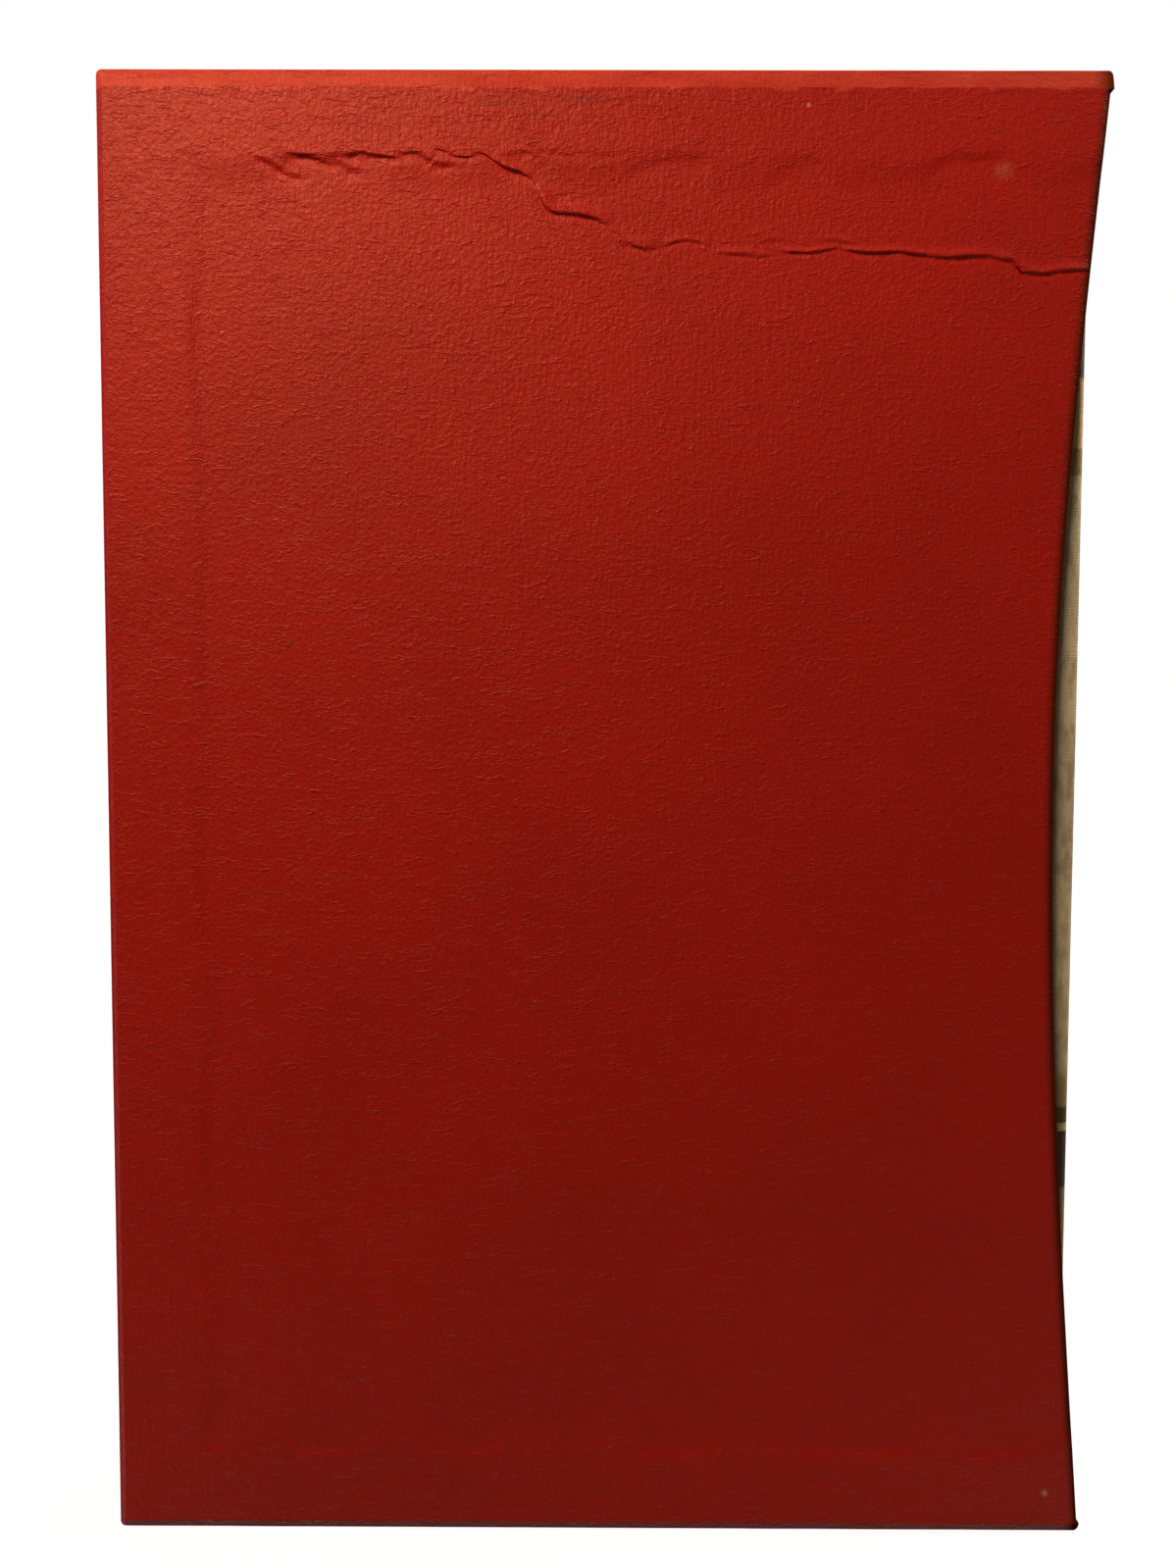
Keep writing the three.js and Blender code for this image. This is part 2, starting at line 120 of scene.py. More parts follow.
def mapped_grid(columns: Sequence[float], rows: Sequence[float], place: Callable[[float, float], Vector],
                left_out: Callable[[float, float], bool] = lambda column, row: False) -> bmesh.types.BMesh:
    """Makes a grid and lays it out on a curved surface.

    Args:
        columns: Values of the first parameter, one for each column of vertices.
        rows: Values of the second parameter, one for each row of vertices.
        place: Gives the point, in millimetres, for a pair of those values.
        left_out: Tells, from the middle of a face in those values, whether it is left out.

    Returns:
        The open sheet.
    """
    sheet = bmesh.new()
    across = len(columns) - 1
    along = len(rows) - 1
    bmesh.ops.create_grid(sheet, x_segments=across, y_segments=along, size=0.5)
    for vertex in sheet.verts:
        vertex.co.x = columns[round((vertex.co.x + 0.5) * across)]
        vertex.co.y = rows[round((vertex.co.y + 0.5) * along)]
    spare = [face for face in sheet.faces if left_out(*face.calc_center_median().xy)]
    bmesh.ops.delete(sheet, geom=spare, context="FACES")
    for vertex in sheet.verts:
        vertex.co = place(vertex.co.x, vertex.co.y)
    return sheet


def thicken(sheet: bmesh.types.BMesh, thickness: float) -> None:
    """Gives an open sheet a wall behind the side that its normals point to."""
    bmesh.ops.remove_doubles(sheet, verts=sheet.verts, dist=MERGE_DISTANCE)
    bmesh.ops.solidify(sheet, geom=sheet.faces[:], thickness=thickness)


def turn_to_back(shape: bmesh.types.BMesh) -> None:
    """Mirrors a shape of the front side to the back, with its faces outwards."""
    bmesh.ops.scale(shape, vec=(1, -1, 1), verts=shape.verts)
    bmesh.ops.reverse_faces(shape, faces=shape.faces[:])


def mark_turned(sheet: bmesh.types.BMesh, edge_at: Callable[[Vector], float], reach: float) -> None:
    """Marks how far each point has turned round an edge at the mouth, where its finish paints the edge
    dark: partly soil, partly shade.

    Args:
        sheet: The shape, in millimetres.
        edge_at: Gives X of the edge beside a point.
        reach: How far in from the edge the mark starts.
    """
    layer = sheet.verts.layers.float.new(TURNED_EDGE)
    for vertex in sheet.verts:
        vertex[layer] = smooth(1 - (edge_at(vertex.co) - vertex.co.x) / reach)


@dataclass(frozen=True)
class CaseSizes:
    """Sizes of the slipcase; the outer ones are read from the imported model."""

    closed_end: float
    nose: float
    sheet_face: float
    height: float
    board: float = 2.5
    paper: float = 0.35
    lap: float = 13.5
    lap_ramp: float = 1.4
    soft_lap_ramp: float = 7.0
    lap_softness_waves: tuple[float, float] = (11.0, 30.0)
    lap_edge_waves: tuple[float, float] = (2.3, 9.0)
    lap_edge_waver: float = 0.35
    soft_end: float = 6.0
    head_margin: float = 3.4
    end_margin: float = 1.5
    tail_margin: float = 2.0
    turn_in: float = 12.0
    thumb_depth: float = 6.9
    thumb_rise: float = 9.0
    thumb_sweep: float = 1.8
    panel_nose: float = 0.5
    mouth_rounding: float = 1.3
    fit: float = 0.3

    @classmethod
    def from_frame(cls) -> CaseSizes:
        """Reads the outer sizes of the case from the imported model.

        Returns:
            The sizes of the case.
        """
        strip_low, strip_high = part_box("case_wrap_strip")
        sheet_low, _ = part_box("case_front_sheet")
        return cls(
            closed_end=strip_low.x / MILLIMETRE,
            nose=strip_high.x / MILLIMETRE,
            sheet_face=-sheet_low.y / MILLIMETRE,
            height=strip_high.z / MILLIMETRE,
        )

    @property
    def side_corner(self) -> float:
        """X of the mouth edge of a side at its two corners."""
        return self.nose - self.panel_nose

    @property
    def strip_face(self) -> float:
        """Distance of the wrap strip's outside from the middle plane."""
        return self.sheet_face - self.paper

    @property
    def sheet_back(self) -> float:
        """Distance from the middle plane of the covering turned in at the mouth."""
        return self.sheet_face - 3 * self.paper - self.board

    @property
    def board_back(self) -> float:
        """Distance of the inside of a side board from the middle plane."""
        return self.sheet_back + self.paper

    @property
    def panel_depth(self) -> float:
        """From the outside of the head or tail to the covering turned in behind it."""
        return self.board + 2 * self.paper

    def mouth_at(self, height: float) -> float:
        """Gives X of the covered mouth edge of a side.

        Args:
            height: Height above the foot.

        Returns:
            X, which is smallest at the deepest point of the shallow curve.
        """
        middle = self.height / 2 + self.thumb_rise
        reach = self.height - middle if height > middle else middle
        turn = self.thumb_sweep * abs(height - middle) / reach
        share = (1 - math.cos(turn)) / (1 - math.cos(self.thumb_sweep))
        return self.side_corner - self.thumb_depth * (1 - share)

    def lap_step(self, x: float, z: float) -> float:
        """Gives how far a side sheet has sunk inside the edge of the turned-over strip.

        Args:
            x: Place across the side.
            z: Height above the foot.

        Returns:
            Depth, from none over the strip to a paper's thickness beside it.
        """
        past_lap = x - self.closed_end - self.lap
        inside = min(past_lap, z - self.lap, self.height - self.lap - z)
        sharpness = smooth(0.5 + 1.6 * drift(x, z, self.lap_softness_waves, 1.7))
        sharpness *= smooth(0.2 + past_lap / self.soft_end)
        uneven = self.lap_edge_waver * drift(x, z, self.lap_edge_waves, 4.4)
        ramp = between(self.soft_lap_ramp, self.lap_ramp, sharpness)
        return self.paper * smooth((inside + uneven) / ramp)


@dataclass(frozen=True)
class Crease:
    """A buckle in the front sheet, followed from point to point.

    Each point is measured in from the mouth corner and down from the head. The paper rises softly
    above the line, drops over a narrow fold and dips a little below it.
    """

    points: tuple[tuple[float, float], ...]
    rise: float = 0.3
    fold_width: float = 0.3
    slope_width: float = 1.0
    dip: float = 0.12
    dip_width: float = 0.55
    fade: float = 3.0
    end_share: float = 0.15
    unevenness: float = 0.7
    wander: float = 0.22

    @cached_property
    def reach(self) -> float:
        """How far from its line the crease still lifts the paper."""
        return 2.5 * max(self.slope_width, self.dip_width) + self.fold_width

    @cached_property
    def bounds(self) -> tuple[float, float, float, float]:
        """The box round the crease.

        Returns:
            Least and most across, least and most down, with the reach added.
        """
        across = [point[0] for point in self.points]
        down = [point[1] for point in self.points]
        return (min(across) - self.reach, max(across) + self.reach,
                min(down) - self.reach, max(down) + self.reach)

    def height_at(self, across: float, down: float) -> float:
        """Gives how far the paper stands up near the crease.

        Args:
            across: Distance in from the mouth corner.
            down: Distance down from the head.

        Returns:
            Height over the flat sheet, negative in the dip under the fold.
        """
        left, right, top, bottom = self.bounds
        if not (left < across < right and top < down < bottom):
            return 0.0
        nearest = self.reach
        above = nearest
        run = 0.0
        travelled = 0.0
        for start, end in zip(self.points, self.points[1:]):
            step = Vector(end) - Vector(start)
            length = step.length
            offset = Vector((across, down)) - Vector(start)
            share = min(1.0, max(0.0, offset.dot(step) / length ** 2))
            gap = offset - step * share
            if gap.length < nearest:
                nearest = gap.length
                above = math.copysign(nearest, -gap.y)
                run = travelled + length * share
            travelled += length
        if nearest >= self.reach:
            return 0.0
        ends = smooth(run / self.fade + self.end_share)
        ends *= smooth((travelled - run) / self.fade + self.end_share)
        uneven = 1 + self.unevenness * noise.noise(Vector((across * 0.4, down * 0.4, 3.1)))
        above += self.wander * noise.noise(Vector((across * 0.9, down * 0.9, 7.7)))
        return ends * uneven * self.profile(above)

    def profile(self, above: float) -> float:
        """Gives the height of the paper at a distance above the line of the fold.

        Args:
            above: Distance above the line, negative below it.

        Returns:
            Height over the flat sheet.
        """
        if above >= self.fold_width:
            slope = (above - self.fold_width) / self.slope_width
            return self.rise * math.exp(-slope * slope)
        if above <= 0:
            slope = above / self.dip_width
            return -self.dip * math.exp(-slope * slope)
        return between(-self.dip, self.rise, smooth(above / self.fold_width))


FOLD_LINE = (
    (109.9, 13.7), (107.0, 14.2), (104.3, 14.5), (102.0, 14.0), (100.4, 14.9), (98.3, 16.2), (96.0, 16.8),
    (93.6, 18.0), (92.6, 20.7), (91.4, 22.6), (89.3, 23.4), (86.1, 23.6), (82.9, 24.4), (79.9, 26.3),
    (77.5, 28.0), (75.0, 29.0), (71.8, 28.3), (69.9, 27.6), (66.7, 27.9), (63.1, 29.5), (57.8, 30.0),
    (53.1, 29.2), (48.0, 29.5), (43.7, 28.6), (40.0, 29.3), (34.5, 29.2), (28.5, 30.1), (22.6, 30.1),
    (18.6, 30.3), (15.2, 30.8), (13.6, 32.3), (10.1, 32.8), (3.9, 32.1),
)
FOLD_START_DROP = 0.9
FRONT_CREASES = (
    Crease(((110.2, 13.4), (108.3, 13.4), (107.0, 14.1), (105.8, 14.4), (104.3, 14.5), (102.6, 14.4)),
           rise=0.2, dip=0.2, fold_width=0.36, slope_width=0.7),
    Crease(((103.2, 13.8), (102.0, 13.9), (101.2, 14.1), (100.4, 14.8), (99.4, 15.5), (98.3, 16.1),
            (97.4, 16.5), (96.0, 16.8), (94.8, 17.3), (93.4, 18.1)),
           rise=0.32, dip=0.18, fold_width=0.42, fade=1.6, wander=0.12),
    Crease(((93.6, 19.3), (92.7, 20.7), (92.1, 21.8), (91.4, 22.6), (90.4, 23.2), (89.3, 23.4),
            (86.1, 23.6), (84.5, 23.9), (82.9, 24.5), (81.2, 25.0)),
           rise=0.34, dip=0.16, fold_width=0.42, slope_width=1.5, fade=1.8, wander=0.12),
    Crease(((81.2, 26.0), (79.8, 26.4), (78.6, 26.6)), rise=0.14, slope_width=0.6, fade=1),
    Crease(((80.8, 27.6), (79.0, 28.1), (76.6, 28.8), (75.0, 29.1), (73.0, 29.2)),
           rise=0.2, dip=0.14, fold_width=0.7, slope_width=1.1),
    Crease(((72.2, 28.4), (70.9, 27.9), (69.9, 27.6), (68.6, 27.5), (66.7, 27.9), (64.9, 28.3)),
           rise=0.14, dip=0.1, slope_width=0.6, fade=1.5),
    Crease(((63.4, 29.7), (59.9, 29.9), (57.8, 30.0), (56.6, 30.3), (55.0, 29.9)),
           rise=0.22, dip=0.05, fold_width=0.5, slope_width=0.55, fade=2),
    Crease(((53.4, 29.2), (50.8, 29.5), (48.0, 29.5), (45.6, 29.2), (43.9, 28.5)),
           rise=0.2, dip=0.08, fold_width=0.4, slope_width=0.5, fade=1.5),
    Crease(((43.2, 28.8), (42.0, 29.3), (40.0, 29.5), (36.9, 29.6), (34.5, 29.4), (32.1, 29.7),
            (29.0, 30.1)),
           rise=0.3, dip=0.14, fold_width=0.4, slope_width=0.6, fade=1.5, wander=0.1),
    Crease(((29.6, 30.0), (27.6, 30.3), (25.7, 30.3), (22.6, 30.1), (20.5, 30.0), (18.6, 30.4),
            (16.7, 30.7), (14.8, 30.7)),
           rise=0.32, dip=0.14, fold_width=0.42, slope_width=0.9, fade=1.6, wander=0.1),
    Crease(((15.0, 31.2), (14.4, 31.8), (13.6, 32.5), (12.2, 32.9), (10.1, 32.8), (8.2, 32.5), (5.8, 32.3),
            (3.4, 32.1)),
           rise=0.34, dip=0.14, fold_width=0.42, slope_width=0.9, fade=1.4, wander=0.1),
    Crease(((58.8, 26.2), (57.2, 26.5), (55.9, 27.4), (54.7, 27.6), (52.8, 27.4)),
           rise=0.2, dip=0.08, slope_width=0.5, fade=2),
    Crease(((47.1, 27.1), (45.6, 27.4), (44.0, 27.7), (42.4, 28.0), (41.3, 28.6)),
           rise=0.22, dip=0.08, slope_width=0.5, fade=1.5),
    Crease(((138.6, 14.6), (137.1, 15.1), (136.0, 15.6), (135.0, 16.3), (134.1, 16.9), (133.2, 17.3),
            (132.1, 17.7), (130.6, 17.8)),
           rise=0.12, dip=0.24, fold_width=0.6, dip_width=0.8, slope_width=0.6, fade=2),
    Crease(((133.2, 13.8), (131.5, 14.3), (130.1, 14.2), (128.9, 14.6), (127.6, 15.1), (126.7, 15.5),
            (125.5, 16.4)),
           rise=0.14, dip=0.28, fold_width=0.4, dip_width=0.7, slope_width=0.5, fade=1.2, wander=0.1),
    Crease(((127.4, 14.6), (126.2, 15.0), (124.8, 15.8), (123.6, 16.6), (121.6, 17.2), (120.2, 16.8)),
           rise=0.14, dip=0.22, fold_width=1.0, dip_width=0.8, slope_width=0.6),
    Crease(((123.8, 14.4), (122.2, 14.0), (121.4, 13.8), (120.6, 14.0), (119.7, 14.3), (118.4, 14.4),
            (117.2, 14.6), (115.4, 14.8)),
           rise=0.16, dip=0.3, fold_width=0.5, dip_width=0.7, slope_width=0.5, fade=1.6, wander=0.1),
    Crease(((115.3, 14.0), (114.0, 14.2), (113.0, 13.8), (112.2, 13.9), (111.3, 14.5), (109.9, 15.3),
            (108.3, 15.9), (106.2, 15.9)),
           rise=0.18, dip=0.3, fold_width=0.55, dip_width=0.9, slope_width=0.6, fade=1.6, wander=0.12),
    Crease(((98.2, 14.1), (96.0, 14.0), (95.2, 13.6), (94.1, 13.9), (91.5, 13.6), (88.0, 13.9),
            (82.3, 14.2), (78.0, 13.7), (74.8, 13.3), (69.1, 13.5)),
           rise=0.02, dip=0.13, fold_width=0.35, dip_width=0.6, slope_width=0.5, fade=4, wander=0.1),
)


def fold_line(across: float) -> float:
    """Gives how far below the head the main crease runs.

    Args:
        across: Distance in from the mouth corner.

    Returns:
        Distance down from the head, held level beyond the ends of the crease.
    """
    if across >= FOLD_LINE[0][0]:
        return FOLD_LINE[0][1] + FOLD_START_DROP
    for start, end in zip(FOLD_LINE, FOLD_LINE[1:]):
        if across >= end[0]:
            return between(start[1], end[1], (start[0] - across) / (start[0] - end[0]))
    return FOLD_LINE[-1][1]


class Nodes:
    """The nodes of one tree, with short methods for what finishes and surround both use."""

    def __init__(self, tree: bpy.types.NodeTree) -> None:
        """Takes the tree, with the nodes that it has."""
        self.tree = tree

    def add(self, kind: str, inputs: dict[int | str, object], **settings: object) -> bpy.types.Node:
        """Adds a node.

        Args:
            kind: The node's type.
            inputs: A constant or a socket for each input that is named or numbered.
            settings: The node's own settings.

        Returns:
            The node.
        """
        node = self.tree.nodes.new(kind)
        for name, value in settings.items():
            setattr(node, name, value)
        for name, value in inputs.items():
            self.feed(node.inputs[name], value)
        return node

    def feed(self, socket: bpy.types.NodeSocket, value: object) -> None:
        """Links a socket to another one, or sets it to a constant.

        Args:
            socket: The socket of the node that takes the value.
            value: A socket to link from, or a constant.
        """
        if isinstance(value, bpy.types.NodeSocket):
            self.tree.links.new(value, socket)
        else:
            socket.default_value = value

    def maths(self, operation: str, first: object, second: object = 0.0) -> bpy.types.NodeSocket:
        """Works out one sum."""
        return self.add("ShaderNodeMath", {0: first, 1: second}, operation=operation).outputs["Value"]

    def seen(self) -> bpy.types.NodeSocket:
        """Gives 1 where the camera sees the surface, also in a gloss or through glass.

        Returns:
            1 for such rays and 0 for those that only carry light.
        """
        path = self.add("ShaderNodeLightPath", {})
        gloss = self.maths("MAXIMUM", path.outputs["Is Camera Ray"], path.outputs["Is Glossy Ray"])
        return self.maths("MAXIMUM", gloss, path.outputs["Is Transmission Ray"])


class FinishNodes(Nodes):
    """The nodes of one material, with a short method for each kind that the finishes use."""

    def __init__(self, name: str) -> None:
        """Starts a material with one surface shader and a place in millimetres.

        Args:
            name: The material's name.
        """
        self.material = bpy.data.materials.new(name)
        self.material.use_nodes = True
        super().__init__(self.material.node_tree)
        self.tree.nodes.clear()
        self.shader = self.tree.nodes.new("ShaderNodeBsdfPrincipled")
        self.add("ShaderNodeOutputMaterial", {"Surface": self.shader.outputs["BSDF"]})
        coordinates = self.add("ShaderNodeTexCoord", {})
        self.place = self.times(coordinates.outputs["Object"], (1 / MILLIMETRE,) * 3)

    def times(self, vector: bpy.types.NodeSocket, factors: Sequence[float]) -> bpy.types.NodeSocket:
        """Multiplies a vector by a factor along each axis."""
        node = self.add("ShaderNodeVectorMath", {0: vector, 1: tuple(factors)}, operation="MULTIPLY")
        return node.outputs["Vector"]

    def grain(self, sizes: Sequence[float], detail: float = 2.0, roughness: float = 0.5,
              distortion: float = 0.0) -> bpy.types.NodeSocket:
        """Gives noise whose marks have a size, in millimetres, along each axis.

        Args:
            sizes: Size of the marks along X, Y and Z.
            detail: How many finer layers are added.
            roughness: How strong the finer layers are.
            distortion: How far the marks are pushed about.

        Returns:
            Noise from 0 to 1.
        """
        vector = self.times(self.place, [1 / size for size in sizes])
        node = self.add("ShaderNodeTexNoise", {
            "Vector": vector, "Scale": 1.0, "Detail": detail, "Roughness": roughness,
            "Distortion": distortion,
        })
        return node.outputs["Fac"]

    def ramp(self, value: bpy.types.NodeSocket, start: float, end: float, low: float = 0.0,
             high: float = 1.0) -> bpy.types.NodeSocket:
        """Eases a value that runs from start to end into one from low to high.

        Args:
            value: The value.
            start: The value at which the ease starts.
            end: The value at which it ends.
            low: What it gives at the start and before it.
            high: What it gives at the end and past it.

        Returns:
            The eased value.
        """
        node = self.add("ShaderNodeMapRange", {
            "Value": value, "From Min": start, "From Max": end, "To Min": low, "To Max": high,
        }, interpolation_type="SMOOTHSTEP")
        return node.outputs["Result"]

    def within(self, value: bpy.types.NodeSocket, low: float, high: float,
               softness: float) -> bpy.types.NodeSocket:
        """Gives 1 between two values and 0 outside them, with edges of a softness."""
        return self.maths("MULTIPLY", self.ramp(value, low - softness, low + softness),
                          self.ramp(value, high + softness, high - softness))

    def mix(self, share: object, first: object, second: object) -> bpy.types.NodeSocket:
        """Blends two colours.

        Args:
            share: Share of the second colour.
            first: A colour or a socket.
            second: A colour or a socket.

        Returns:
            The blend.
        """
        node = self.add("ShaderNodeMix", {0: share}, data_type="RGBA")
        for socket, colour in ((node.inputs[6], first), (node.inputs[7], second)):
            self.feed(socket, colour if isinstance(colour, bpy.types.NodeSocket) else (*colour, 1.0))
        return node.outputs[2]

    def shade(self, colour: bpy.types.NodeSocket, amount: object) -> bpy.types.NodeSocket:
        """Multiplies a colour by a brightness."""
        node = self.add("ShaderNodeVectorMath", {0: colour, "Scale": amount}, operation="SCALE")
        return node.outputs["Vector"]

    def axis(self, name: str) -> bpy.types.NodeSocket:
        """Gives the place along one axis, in millimetres."""
        return self.add("ShaderNodeSeparateXYZ", {0: self.place}).outputs[name]

    def near(self, point: Sequence[float], radius: float, stretch: float) -> bpy.types.NodeSocket:
        """Gives 1 at a point, less around it and 0 beyond a radius, longer along X by a stretch.

        Args:
            point: Middle of the mark, in millimetres.
            radius: How far it reaches along Y and Z.
            stretch: How many times further it reaches along X.

        Returns:
            Strength of the mark from 0 to 1.
        """
        place = self.times(self.place, (1 / stretch, 1, 1))
        centre = (point[0] / stretch, point[1], point[2])
        node = self.add("ShaderNodeVectorMath", {0: place, 1: centre}, operation="DISTANCE")
        return self.ramp(node.outputs["Value"], radius, 0.0)

    def bump(self, height: bpy.types.NodeSocket, depth: float,
             under: bpy.types.NodeSocket | None = None) -> bpy.types.NodeSocket:
        """Raises the surface by a height of a depth in millimetres, over the bump under it.

        Args:
            height: Height from 0 to 1.
            depth: What a height of 1 stands for.
            under: A bump that this one adds to.

        Returns:
            The bumped normal.
        """
        inputs = {"Height": height, "Distance": depth * MILLIMETRE, "Strength": 1.0}
        if under is not None:
            inputs["Normal"] = under
        return self.add("ShaderNodeBump", inputs).outputs["Normal"]

    def finish(self, **sockets: object) -> bpy.types.Material:
        """Sets the shader's sockets, named with _ for a space, and gives the material.

        Args:
            sockets: A constant, a colour or a socket for each.

        Returns:
            The material.
        """
        for name, value in sockets.items():
            socket = self.shader.inputs[name.replace("_", " ")]
            is_colour = isinstance(value, tuple) and len(value) == 3
            self.feed(socket, (*value, 1.0) if is_colour else value)
        return self.material


@dataclass(frozen=True)
class Blemish:
    """A small mark on a finish."""

    point: tuple[float, float, float]
    radius: float
    colour: Colour
    strength: float
    stretch: float = 1.0


@dataclass(frozen=True)
class CasePaper:
    """Red embossed paper, wrinkled in short level waves, with a soft gloss."""

    name: str = "red_case_paper"
    colour: Colour = (0.295, 0.0052, 0.003)
    gloss_tint: Colour = (1.0, 0.4, 0.2)
    worn_colour: Colour = (0.42, 0.03, 0.014)
    soil_and_shade_colour: Colour = (0.055, 0.012, 0.003)
    rub_and_sheen_colour: Colour = (0.415, 0.033, 0.0155)
    rub_and_sheen_height: float = 1000.0
    rub_and_sheen_softness: float = 0.4
    mottle_size: float = 38.0
    mottle: float = 0.07
    speckle_size: float = 0.45
    speckle: float = 0.1
    roughness: float = 0.47
    gloss: float = 0.3
    soil_and_shade_gloss: float = 0.0
    tooth_depth: float = 0.17
    streak_depth: float = 0.07
    small_wrinkle_depth: float = 0.062
    large_wrinkle_depth: float = 0.038
    blemishes: tuple[Blemish, ...] = ()

    def material(self) -> bpy.types.Material:
        """Makes the material.

        Returns:
            The material.
        """
        nodes = FinishNodes(self.name)
        cloudy = nodes.grain((self.mottle_size,) * 3, detail=3)
        fibres = nodes.grain((0.5, 0.5, 1.1), detail=3, roughness=0.6)
        colour = nodes.mix(nodes.ramp(fibres, 0.62, 0.8, 0.0, 0.5), self.colour, self.worn_colour)
        colour = nodes.shade(colour, nodes.ramp(cloudy, 0.3, 0.7, 1 - self.mottle, 1 + self.mottle))
        specks = nodes.grain((self.speckle_size,) * 3)
        colour = nodes.shade(colour, nodes.ramp(specks, 0.35, 0.65, 1 - self.speckle, 1 + self.speckle))
        # Above a height the paper is lighter in patches: partly rubbed wear on the head edge, partly a
        # painted sheen where the head margin tilts towards the lamp.
        patchy = nodes.ramp(nodes.grain((9, 9, 2.5), detail=3), 0.3, 0.62, 0.55, 1.0)
        uneven = nodes.ramp(nodes.grain((4, 4, 1.5), detail=3), 0.3, 0.7, -0.8, 0.8)
        height = nodes.maths("ADD", nodes.axis("Z"), uneven)
        rub_and_sheen = nodes.ramp(height, self.rub_and_sheen_height - self.rub_and_sheen_softness,
                            self.rub_and_sheen_height + self.rub_and_sheen_softness)
        colour = nodes.mix(nodes.maths("MULTIPLY", rub_and_sheen, patchy), colour, self.rub_and_sheen_colour)
        for mark in self.blemishes:
            spot = nodes.maths("MULTIPLY", nodes.near(mark.point, mark.radius, mark.stretch), mark.strength)
            spot = nodes.maths("MULTIPLY", spot, nodes.ramp(fibres, 0.3, 0.6, 0.4, 1.0))
            colour = nodes.mix(spot, colour, mark.colour)
        # The turned mouth edge is painted dark brown and loses its gloss: partly handling soil, partly
        # painted shade on an edge that turns away from the lamps.
        turned = nodes.add("ShaderNodeAttribute", {}, attribute_name=TURNED_EDGE).outputs["Fac"]
        colour = nodes.mix(turned, colour, self.soil_and_shade_colour)
        relief = self.relief(nodes)
        roughness = nodes.ramp(fibres, 0.3, 0.7, self.roughness - 0.06, self.roughness + 0.08)
        gloss = nodes.ramp(turned, 0.0, 0.8, self.gloss, self.soil_and_shade_gloss)
        return nodes.finish(Base_Color=colour, Roughness=roughness, Normal=relief, Specular_IOR_Level=gloss,
                            Specular_Tint=self.gloss_tint)

    def relief(self, nodes: FinishNodes) -> bpy.types.NodeSocket:
        """Gives the wrinkles, the laid streaks and the fine tooth of the paper.

        Args:
            nodes: The material's nodes.

        Returns:
            The bumped normal.
        """
        tooth = nodes.grain((0.75, 0.75, 0.75), detail=3, roughness=0.6)
        streaks = nodes.grain((0.55, 0.55, 3.6), detail=2)
        small = self.wrinkles(nodes, (4.6, 4.6, 1.3), (3.4, 3.4, 1.3), 0.04)
        large = self.wrinkles(nodes, (2.6, 2.6, 0.9), (7.5, 7.5, 2.6), 0.055)
        relief = nodes.bump(tooth, self.tooth_depth)
        relief = nodes.bump(streaks, self.streak_depth, relief)
        relief = nodes.bump(small, self.small_wrinkle_depth, relief)
        return nodes.bump(large, self.large_wrinkle_depth, relief)

    def wrinkles(self, nodes: FinishNodes, wave: Sequence[float], patch: Sequence[float],
                 width: float) -> bpy.types.NodeSocket:
        """Gives short level ridges.

        Args:
            nodes: The material's nodes.
            wave: Size, along each axis, of the waves that the ridges follow.
            patch: Size, along each axis, of the patches in which they show.
            width: Share of a wave's height that a ridge takes.

        Returns:
            Height from 0 to 1.
        """
        waves = nodes.grain(wave, detail=1.5, distortion=0.3)
        ridge = nodes.ramp(nodes.maths("ABSOLUTE", nodes.maths("SUBTRACT", waves, 0.5)), width, 0.0)
        return nodes.maths("MULTIPLY", ridge, nodes.ramp(nodes.grain(patch, detail=1), 0.46, 0.6))


@dataclass(frozen=True)
class Millboard:
    """Grey-brown pasteboard with flecks."""

    name: str = "millboard"
    colour: Colour = (0.30, 0.24, 0.16)
    fleck_colour: Colour = (0.12, 0.09, 0.06)

    def material(self) -> bpy.types.Material:
        """Makes the material.

        Returns:
            The material.
        """
        nodes = FinishNodes(self.name)
        flecks = nodes.ramp(nodes.grain((0.5, 0.5, 0.5), detail=2), 0.6, 0.72, 0.0, 0.8)
        colour = nodes.mix(flecks, self.colour, self.fleck_colour)
        colour = nodes.shade(colour, nodes.ramp(nodes.grain((6, 6, 6), detail=4), 0.3, 0.7, 0.88, 1.1))
        relief = nodes.bump(nodes.grain((0.6, 0.6, 0.6), detail=4, roughness=0.65), 0.08)
        return nodes.finish(Base_Color=colour, Roughness=0.92, Normal=relief)


@dataclass(frozen=True)
class SpineBand:
    """A field of colour across the spine, from one height to another."""

    low: float
    high: float
    colour: Colour


